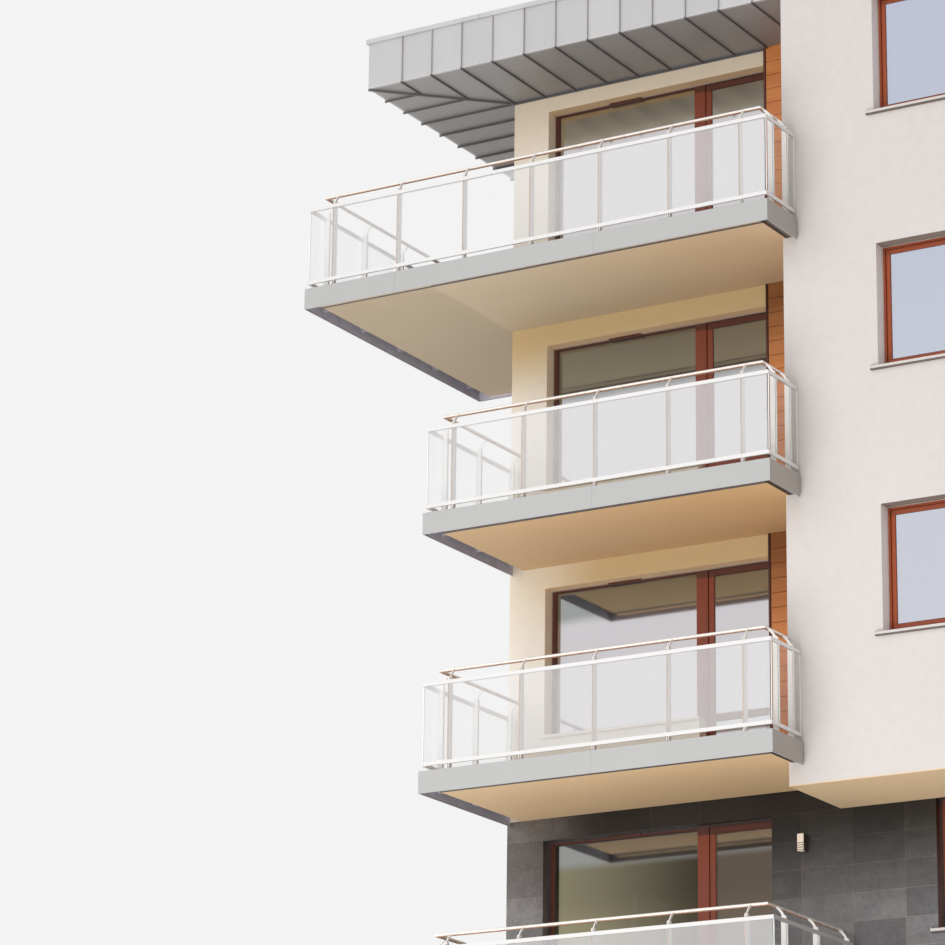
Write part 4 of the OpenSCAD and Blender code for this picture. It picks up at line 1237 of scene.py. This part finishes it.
def is_on(wall, box):
    """Whether a window sits in a wall, just behind its face."""
    corner, _, outward, _ = wall
    depth = (corner - box.middle).dot(outward)
    return 0 < depth < deepest_reveal and abs(outward[box.thin_axis()]) == 1


east, north = Vector((1, 0, 0)), Vector((0, 1, 0))
width = 2 * side_x
depth = rear_y - front_y
walls = {
    "front": (Vector((-side_x, front_y, 0)), east, -north, width),
    "right": (Vector((side_x, front_y, 0)), north, east, depth),
    "rear": (Vector((side_x, rear_y, 0)), -east, north, width),
    "left": (Vector((-side_x, rear_y, 0)), -north, -east, depth),
}
low_sills = solids("low_wall_sills")


def balcony_holes(wall, box):
    """The hole over a low wall and the door's part beside it."""
    left, right, _, head = hole_on(wall, box)
    floor_level = round((box.low.z - ground_step) / storey_height) * storey_height + ground_step
    sill = nearest(low_sills, box)
    is_left_half = box.middle.x < 0
    door_side = (sill.high.x if is_left_half else sill.low.x) + side_x
    door_ends = (door_side, right) if is_left_half else (left, door_side)
    return [[left, right, sill.low.z, head], [*door_ends, floor_level, sill.low.z]]


def wall_holes(name):
    """All openings of a wall, and the places where slabs and the bay meet it."""
    wall = walls[name]
    holes = []
    for box in window_frames:
        if is_on(wall, box):
            left, right, foot, head = hole_on(wall, box)
            holes.append([left, right, foot + frame_lap, head])
    if name == "front":
        for box in balcony_frames:
            holes.extend(balcony_holes(wall, box))
        holes.append(hole_on(wall, solids("entrance_door")[0]))
        for slab in balcony_slabs:
            holes.append([slab.low.x + side_x, slab.high.x + side_x, slab.low.z, slab.high.z])
        bay_soffit_low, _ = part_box("bay_soffit")
        holes.append([side_x - bay_x, side_x + bay_x, bay_soffit_low.z, slate_top + 1])
    return holes


print({name: len(wall_holes(name)) for name in walls}, "holes")

# %% Grow the slabs
edge_share = 0.6
crown_inset = 0.008
relief_seed = 3
lowest_share = 0.8
highest_share = 1.1
lifted = Grower("lifted_slabs", Relief=float, Inset=float, Seed=int)
slab_id = lifted.add("GeometryNodeInputNamedAttribute", {"data_type": "FLOAT"},
                     {"Name": "slab"}, "Attribute")
uneven = lifted.add("FunctionNodeRandomValue", {"data_type": "FLOAT"}, {
    "Min_001": lowest_share, "Max_001": highest_share, "ID": slab_id,
    "Seed": lifted.input("Seed")}, "Value_001")
slab_lift = lifted.input("Relief") * uneven
edge_lift = lifted.add("GeometryNodeExtrudeMesh", {"mode": "FACES"}, {
    "Mesh": lifted.input("Base"), "Offset Scale": slab_lift * edge_share,
    "Individual": False}, "Mesh")
top_faces = Wire(lifted, edge_lift.socket.node.outputs["Top"])
crown_lift = lifted.add("GeometryNodeExtrudeMesh", {"mode": "FACES"}, {
    "Mesh": edge_lift, "Selection": top_faces,
    "Offset Scale": slab_lift * (1 - edge_share), "Individual": False}, "Mesh")
crown = Wire(lifted, crown_lift.socket.node.outputs["Top"])
lifted.end(lifted.add("GeometryNodeScaleElements", {"domain": "FACE"}, {
    "Geometry": crown_lift, "Selection": crown, "Scale": 1 - lifted.input("Inset")}))

for wall_name, (corner, along, outward, wall_length) in walls.items():
    cells = wall_cells(wall_length, slate_low.z, slate_top, wall_holes(wall_name))
    print(wall_name, "has", len(cells), "cells")
    grow("slate_slabs_" + wall_name, wall_mesh(cells, corner, along, outward), lifted,
         slate_slab, "dark_slate", Relief=slab_relief, Inset=crown_inset, Seed=relief_seed)

# %% [markdown]
# ## Gaskets, sealant and end caps
#
# A pane is held by a black gasket, and a bead of sealant joins each frame to its wall,
# pale on the render and dark on the stone. Both are thin round sections swept along lines
# that are drawn from the boxes of panes and frames, because a bead modelled by hand would
# be lost with the next change. The ends of the folded sills are closed by small caps.

# %% Find the face of a window
up = Vector((0, 0, 1))


def window_way(box):
    """The way a window looks: out of its wall."""
    axis = box.thin_axis()
    way = Vector((0, 0, 0))
    way[axis] = 1 if box.middle[axis] > 0 else -1
    return way


def rim(box, inset):
    """The corners of a window's outer face, drawn in from its edges."""
    way = window_way(box)
    along = up.cross(way)
    middle = box.middle + way * (abs(box.size.dot(way)) / 2)
    side = along * (abs(box.size.dot(along)) / 2 - inset)
    rise = Vector((0, 0, box.size.z / 2 - inset))
    return [middle - side - rise, middle + side - rise, middle + side + rise,
            middle - side + rise]


def lines_mesh(lines, closed):
    """A mesh of edges along lists of points."""
    points, edges = [], []
    for line in lines:
        first = len(points)
        points.extend(tuple(point) for point in line)
        edges.extend((first + i, first + i + 1) for i in range(len(line) - 1))
        if closed:
            edges.append((first + len(line) - 1, first))
    mesh = bpy.data.meshes.new("lines")
    mesh.from_pydata(points, edges, [])
    return mesh


print("rims can be drawn")

# %% Seat the panes in gaskets
gasket_radius = 0.004
gasket_inset = 0.0028
bead_sides = 6
gasket_lines = [rim(pane, gasket_inset) for pane in panes]
grow("glazing_gaskets", lines_mesh(gasket_lines, closed=True), beading, rubber,
     "stained_wood", Radius=gasket_radius, Sides=bead_sides)

# %% Seal the frames to the walls
sealant_radius = 0.005
sealant_inset = frame_lap + sealant_radius
sealant_lines = []
for box in balcony_frames:
    head = box.high.z - sealant_inset
    sill_top = nearest(low_sills, box).high.z
    left, right = box.low.x + sealant_inset, box.high.x - sealant_inset
    wall_x, door_x = (left, right) if box.middle.x < 0 else (right, left)
    sealant_lines.append([Vector((x, box.low.y, z)) for x, z in (
        (wall_x, sill_top), (wall_x, head), (door_x, head), (door_x, box.low.z))])
grow("balcony_frame_sealant", lines_mesh(sealant_lines, closed=False), beading, sealant,
     "grey_render", Radius=sealant_radius, Sides=bead_sides)
window_lines = [rim(box, sealant_inset) for box in window_frames]
grow("window_frame_sealant", lines_mesh(window_lines, closed=True), beading, sealant,
     "grey_render", Radius=sealant_radius, Sides=bead_sides)

# %% Close the ends of the sills
cap_thickness = 0.005
cap_height = 0.052
cap_lap = 0.001


def wall_distance(sill):
    """How far the wall over a sill stands out from the middle of the block."""
    if sill.thin_axis() == 0:
        return side_x
    if sill.middle.y > 0:
        return rear_y
    in_bay = abs(sill.middle.x) < bay_x and sill.low.z > slate_top
    return -bay_front_y if in_bay else -front_y


sill_caps = []
for sill in solids("window_sills"):
    way = window_way(sill)
    along = up.cross(way)
    axis = sill.thin_axis()
    lip = max(abs(sill.low[axis]), abs(sill.high[axis]))
    for end in (-1, 1):
        corner = up * (sill.low.z - cap_lap) + way * (lip + cap_lap)
        corner += along * (sill.middle.dot(along) + end * abs(sill.size.dot(along)) / 2)
        other = corner + way * (wall_distance(sill) - lip) + along * end * cap_thickness
        other.z = sill.low.z + cap_height
        sill_caps.append((Vector(map(min, corner, other)), Vector(map(max, corner, other))))
grow("sill_end_caps", block_points(sill_caps), blocks, sill_sheet, "sill_metal")

# %% [markdown]
# ## Balcony edges
#
# Each bracket is riveted to the edge sheet, so two rivet heads show in front of every
# post. Behind the sheet lies its grey primed inside. The gap between slab and sheet is
# covered from above and closed from below beside the bay by plates painted dark as painted
# shade, with a near-black strip of painted shadow along the slab, and at the front a board
# carries the soffit on to the sheet, with a narrow slit for drips. Between its two bars
# each post holds a brown gasket, whose dark brown is also painted shade in the gap, and the
# cut edges of the panes carry a painted highlight. Apart from the rivets, these are thin
# blocks between one box and the next, so one tree on points grows them all.

# %% Rivet the edge sheets
def slab_way(box, axis):
    """The way out of a balcony from its slab, along an axis."""
    way = Vector((0, 0, 0))
    way[axis] = 1 if box.middle[axis] > nearest(balcony_slabs, box).middle[axis] else -1
    return way


sheet_thickness = 0.004
rivet_levels = (0.131, 0.032)
rivet_radius = 0.006
rivet_height = 0.001
rivet_rise = 0.0002
rivet_sides = 12
rivets, rivet_aims = [], []
for post in posts:
    way = slab_way(post, 1 - post.thin_axis())
    sunk = sheet_thickness + rivet_rise - rivet_height
    face = post.middle + way * (abs(post.size.dot(way)) / 2 + sunk)
    for level in rivet_levels:
        rivets.append(Vector((face.x, face.y, nearest(balcony_slabs, post).high.z - level)))
        rivet_aims.append(way)
grow("fascia_rivets", points_mesh(rivets, aim=rivet_aims), studs, rivet_metal,
     "fascia_metal", Radius=rivet_radius, Height=rivet_height, Sides=rivet_sides)

# %% Prime the inside of the edge sheets
fold = 0.002
lining_start = 0.0036
linings = []
for sheet in edge_sheets:
    axis = sheet.thin_axis()
    outward = slab_way(sheet, axis)[axis]
    low, high = sheet.low.copy(), sheet.high.copy()
    outer = high[axis] if outward > 0 else low[axis]
    low[axis], high[axis] = sorted((outer - outward * lining_start,
                                    outer - outward * (sheet_thickness + fold)))
    low.z += sheet_thickness
    high.z -= sheet_thickness
    linings.append((low, high))
grow("fascia_linings", block_points(linings), blocks, primer, "fascia_metal")

# %% Cover the gap between slab and edge sheet
cover_thickness = 0.002
cover_depth = 0.012
covers = []
for sheet in edge_sheets:
    axis = sheet.thin_axis()
    slab = nearest(balcony_slabs, sheet)
    outward = slab_way(sheet, axis)[axis]
    low, high = sheet.low.copy(), sheet.high.copy()
    inner_edge = low[axis] if outward > 0 else high[axis]
    slab_edge = slab.high[axis] if outward > 0 else slab.low[axis]
    low[axis], high[axis] = sorted((inner_edge, slab_edge))
    if axis == 0:
        low.y = max(low.y, slab.low.y)
    high.z = slab.high.z - cover_depth
    low.z = high.z - cover_thickness
    covers.append((low, high))
grow("edge_covers", block_points(covers), blocks, edge_sheet, "fascia_metal")

# %% Close the gap from below beside the bay
shadow_width = 0.05
closers, shadow_strips = [], []
for sheet in edge_sheets:
    slab = nearest(balcony_slabs, sheet)
    if sheet.thin_axis() == 0 and abs(sheet.middle.x) < abs(slab.middle.x):
        way = 1 if sheet.middle.x > slab.middle.x else -1
        slab_x = slab.high.x if way > 0 else slab.low.x
        sheet_x = sheet.high.x if way > 0 else sheet.low.x
        middle_x = slab_x + way * shadow_width
        end_y = sheet.high.y if sheet.middle.z < slate_top else bay_front_y - fold
        spans = ((closers, middle_x, sheet_x - way * sheet_thickness),
                 (shadow_strips, slab_x, middle_x))
        for pieces, start_x, stop_x in spans:
            left, right = sorted((start_x, stop_x))
            pieces.append((Vector((left, slab.low.y, slab.low.z)),
                           Vector((right, end_y, slab.low.z + fold))))
# The closing plates are painted dark as painted shade, and the strips along the slab near black as
# painted shadow
grow("gap_closers", block_points(closers), blocks, shade_sheet, "fascia_metal")
grow("shadow_strips", block_points(shadow_strips), blocks, dark_backing, "fascia_metal")

# %% Carry the soffit on to the front sheet
slit = 0.012
soffit_boards = []
for sheet in edge_sheets:
    if sheet.thin_axis() == 1:
        slab = nearest(balcony_slabs, sheet)
        low = Vector((max(sheet.low.x, slab.low.x), sheet.high.y - sheet_thickness, slab.low.z))
        high = Vector((min(sheet.high.x, slab.high.x), slab.low.y - slit, slab.low.z + fold))
        soffit_boards.append((low, high))
grow("soffit_boards", block_points(soffit_boards), blocks, balcony_paint, "balcony_concrete")

# %% Fit the gaskets between the two bars of each post
bar_gap = 0.012
gasket_depth = 0.008
gasket_margin = 0.03
gaskets = []
for post in posts:
    bar_axis = post.thin_axis()
    depth_axis = 1 - bar_axis
    pane = nearest(railing_panes, post)
    low, high = post.low.copy(), post.high.copy()
    low[bar_axis] = post.middle[bar_axis] - bar_gap / 2
    high[bar_axis] = post.middle[bar_axis] + bar_gap / 2
    low[depth_axis] = pane.middle[depth_axis] - gasket_depth / 2
    high[depth_axis] = pane.middle[depth_axis] + gasket_depth / 2
    low.z = pane.low.z - gasket_margin
    high.z = pane.high.z - gasket_margin
    gaskets.append((low, high))
grow("post_gaskets", block_points(gaskets), blocks, gasket_brown, "railing_steel")

# %% Paint a highlight on the edges of the railing panes
edge_skin = 0.0008
glass_edges = []
for pane in railing_panes:
    length_axis = 1 - pane.thin_axis()
    for end in (pane.low, pane.high):
        low, high = pane.low.copy(), pane.high.copy()
        low[length_axis] = end[length_axis] - edge_skin
        high[length_axis] = end[length_axis] + edge_skin
        glass_edges.append((low, high))
grow("glass_edges", block_points(glass_edges), blocks, painted_edge_highlight, "railing_glass")

# %% [markdown]
# ## Trim on the walls
#
# Dark battens show between the boards beside the bay. The wall lamps have a louvred lower
# half, whose slots are painted dark as painted shade, and an opal lens, and an air vent sits
# on the head of every fixed light. Where the metal soffit meets a wall it ends in a folded
# strip, painted dark as painted shade, and the edge of the roof ends in a drip fold. Each
# takes its place from the boxes of the boards, lamps, panes and sheets.

# %% Back the joints between the boards
slats = [board for board in solids("timber_boards") if board.size.x > 2 * edge_strip.size.x]
widest_joint = 0.02
batten = 0.002
battens = []
for lower, upper in zip(slats, slats[1:]):
    between = upper.low.z - lower.high.z
    if abs(upper.low.x - lower.low.x) < weld and 0 < between < widest_joint:
        battens.append((Vector((lower.low.x, lower.high.y - batten, lower.high.z)),
                        Vector((lower.high.x, lower.high.y, upper.low.z))))
grow("board_battens", block_points(battens), blocks, dark_backing, "cladding_wood")

# %% Finish the wall lamps
slot_count = 4
slot_pitch = 0.025
slot_height = 0.009
slot_reach = 0.05
slot_skin = 0.0006
first_slot = 0.018
slot_inset = 0.0054
lens_inset = 0.02
lens_setback = 0.012
lens_level = 0.01
lens_thickness = 0.003
slots, lenses = [], []
for lamp_box in solids("wall_lamps"):
    low, high = lamp_box.low, lamp_box.high
    for number in range(slot_count):
        z = low.z + first_slot + number * slot_pitch
        slots.append((Vector((low.x + slot_inset, low.y - slot_skin, z)),
                      Vector((high.x - slot_inset, low.y + slot_reach, z + slot_height))))
    lens_z = low.z + lens_level
    lenses.append((Vector((low.x + lens_inset, low.y + lens_setback, lens_z - lens_thickness)),
                   Vector((high.x - lens_inset, high.y - lens_inset, lens_z))))
grow("lamp_louvres", block_points(slots), blocks, louvre_shade, "lamp_metal")
grow("lamp_lenses", block_points(lenses), blocks, opal, "lamp_metal")

# %% Fit the air vents
vent_length = 0.43
vent_height = 0.026
vent_depth = 0.03
vent_drop = 0.002
narrowest_fixed_light = 1
fixed_lights = [pane for pane in balcony_panes if pane.size.x > narrowest_fixed_light]
vents = []
for frame_box in balcony_frames:
    head = frame_box.high.z - frame_lap
    face_y = frame_box.low.y
    middle_x = nearest(fixed_lights, frame_box).middle.x
    vents.append((Vector((middle_x - vent_length / 2, face_y - vent_depth, head - vent_height)),
                  Vector((middle_x + vent_length / 2, face_y, head - vent_drop))))
grow("air_vents", block_points(vents), blocks, deep_stained, "stained_wood")

# %% Fold the trim of the roof
trim_depth = 0.016
trim_height = 0.03
trim_low = up * (soffit_level - trim_height)
trim_high = up * soffit_level
walls_under_soffit = [
    (Vector((-side_x, front_y - trim_depth, 0)), Vector((-bay_x, front_y, 0))),
    (Vector((bay_x, front_y - trim_depth, 0)), Vector((side_x, front_y, 0))),
    (Vector((-side_x - trim_depth, front_y, 0)), Vector((-side_x, rear_y, 0))),
    (Vector((side_x, front_y, 0)), Vector((side_x + trim_depth, rear_y, 0))),
    (Vector((-side_x, rear_y, 0)), Vector((side_x, rear_y + trim_depth, 0)))]
trims = [(low + trim_low, high + trim_high) for low, high in walls_under_soffit]
grow("soffit_trim", block_points(trims), blocks, dark_zinc, "roof_metal")

# %% Fold the drip edge of the roof
drip_height = 0.022
drip_lift = 0.0015
drips = []
for sheet in solids("roof_cladding"):
    axis = sheet.thin_axis()
    outward = 1 if sheet.middle[axis] > 0 else -1
    low, high = sheet.low.copy(), sheet.high.copy()
    outer = high[axis] if outward > 0 else low[axis]
    low[axis], high[axis] = sorted((outer, outer + outward * drip_lift))
    high.z = low.z + drip_height
    drips.append((low, high))
grow("drip_folds", block_points(drips), blocks, cap_zinc, "roof_metal")

# %% Lap the roofing sheets
deck_low, deck_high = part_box("roof_deck")
sheet_width = 1.0
lap_width = 0.1
lap_height = 0.004
laps = []
for number in range(1, math.floor((deck_high.x - deck_low.x) / sheet_width) + 1):
    x = deck_low.x + number * sheet_width
    laps.append((Vector((x - lap_width, deck_low.y, deck_high.z)),
                 Vector((x, deck_high.y, deck_high.z + lap_height))))
grow("roofing_laps", block_points(laps), blocks, roofing, "roof_membrane")

# %% [markdown]
# ## Studio
#
# The pale background is the world seen by the camera and by reflections. For the light
# that falls on the walls the same world is weaker, and one large soft lamp from the front
# left gives the shape. Two lamps close to the floor stand for the light that the ground
# throws back under the slabs. The floor is a pale disc that keeps the shadow. It goes
# over into the background, and ends well before the camera.

# %% Build the studio
backdrop_level = 0.9
ambient = 0.56
world = bpy.data.worlds.new("studio")
bpy.context.scene.world = world
world.use_nodes = True
surround = Sheet(world.node_tree)
rays = world.node_tree.nodes.new("ShaderNodeLightPath")
seen_directly = Wire(surround, rays.outputs["Is Camera Ray"])
seen_in_gloss = Wire(surround, rays.outputs["Is Glossy Ray"])
seen_through = Wire(surround, rays.outputs["Is Transmission Ray"])
shown = surround.maths("MINIMUM", seen_directly + seen_in_gloss + seen_through, 1)
backdrop = world.node_tree.nodes["Background"]
surround.connect(backdrop, "Color", colour(1.0, 1.0, 1.0))
surround.connect(backdrop, "Strength", ambient + shown * (backdrop_level - ambient))
print("the backdrop is lit")


# %% Hang the lamps
def soft_lamp(name, place, target, size, power):
    """A large round lamp that shows neither itself nor its reflection."""
    data = bpy.data.lights.new(name, "AREA")
    data.shape = "DISK"
    data.size = size
    data.energy = power
    lamp = bpy.data.objects.new(name, data)
    bpy.context.scene.collection.objects.link(lamp)
    lamp.location = place
    lamp.rotation_mode = "QUATERNION"
    lamp.rotation_quaternion = (target - place).to_track_quat("-Z", "Y")
    lamp.visible_camera = False
    lamp.visible_glossy = False


soft_lamp("soft_key", place=Vector((-12, -40, 24)), target=Vector((0, -4, 14)),
          size=34, power=4900)
soft_lamp("ground_bounce", place=Vector((-3, -28, 0.3)), target=Vector((-3, -27.9, 14)),
          size=22, power=6200)
soft_lamp("near_bounce", place=Vector((-3, -12, 0.3)), target=Vector((-3, -11.9, 12)),
          size=8, power=400)
print("the lamps hang")

# %% Lay the floor
floor_radius = 24
floor_sides = 96
fade_from = 0.45
fade_to = 0.97
floor_mesh = bpy.data.meshes.new("floor")
floor_shape = bmesh.new()
bmesh.ops.create_circle(floor_shape, cap_ends=True, segments=floor_sides, radius=floor_radius)
floor_shape.to_mesh(floor_mesh)
floor_shape.free()
floor = bpy.data.objects.new("floor", floor_mesh)
bpy.context.scene.collection.objects.link(floor)
pale_floor = Finish("pale_floor", roughness=0.8)
pale_floor.lay("Base Color", colour(0.86, 0.85, 0.83))

# Towards its rim the floor goes over into the background, so that no edge shows
distance = (pale_floor.x ** 2 + pale_floor.y ** 2) ** 0.5
seen = pale_floor.add("ShaderNodeLightPath", output="Is Camera Ray")
background_share = distance.fade(floor_radius * fade_from, floor_radius * fade_to) * seen
background_colour = pale_floor.add("ShaderNodeEmission", None, {"Strength": backdrop_level})
floor_colour = Wire(pale_floor, pale_floor.shader.outputs[0])
floor_and_background = pale_floor.add("ShaderNodeMixShader", None, {
    0: background_share, 1: floor_colour, 2: background_colour})
pale_floor.connect(pale_floor.tree.nodes["Material Output"], "Surface", floor_and_background)
floor.data.materials.append(pale_floor.material)
bpy.context.scene.view_settings.view_transform = "Standard"
print("the floor is laid")
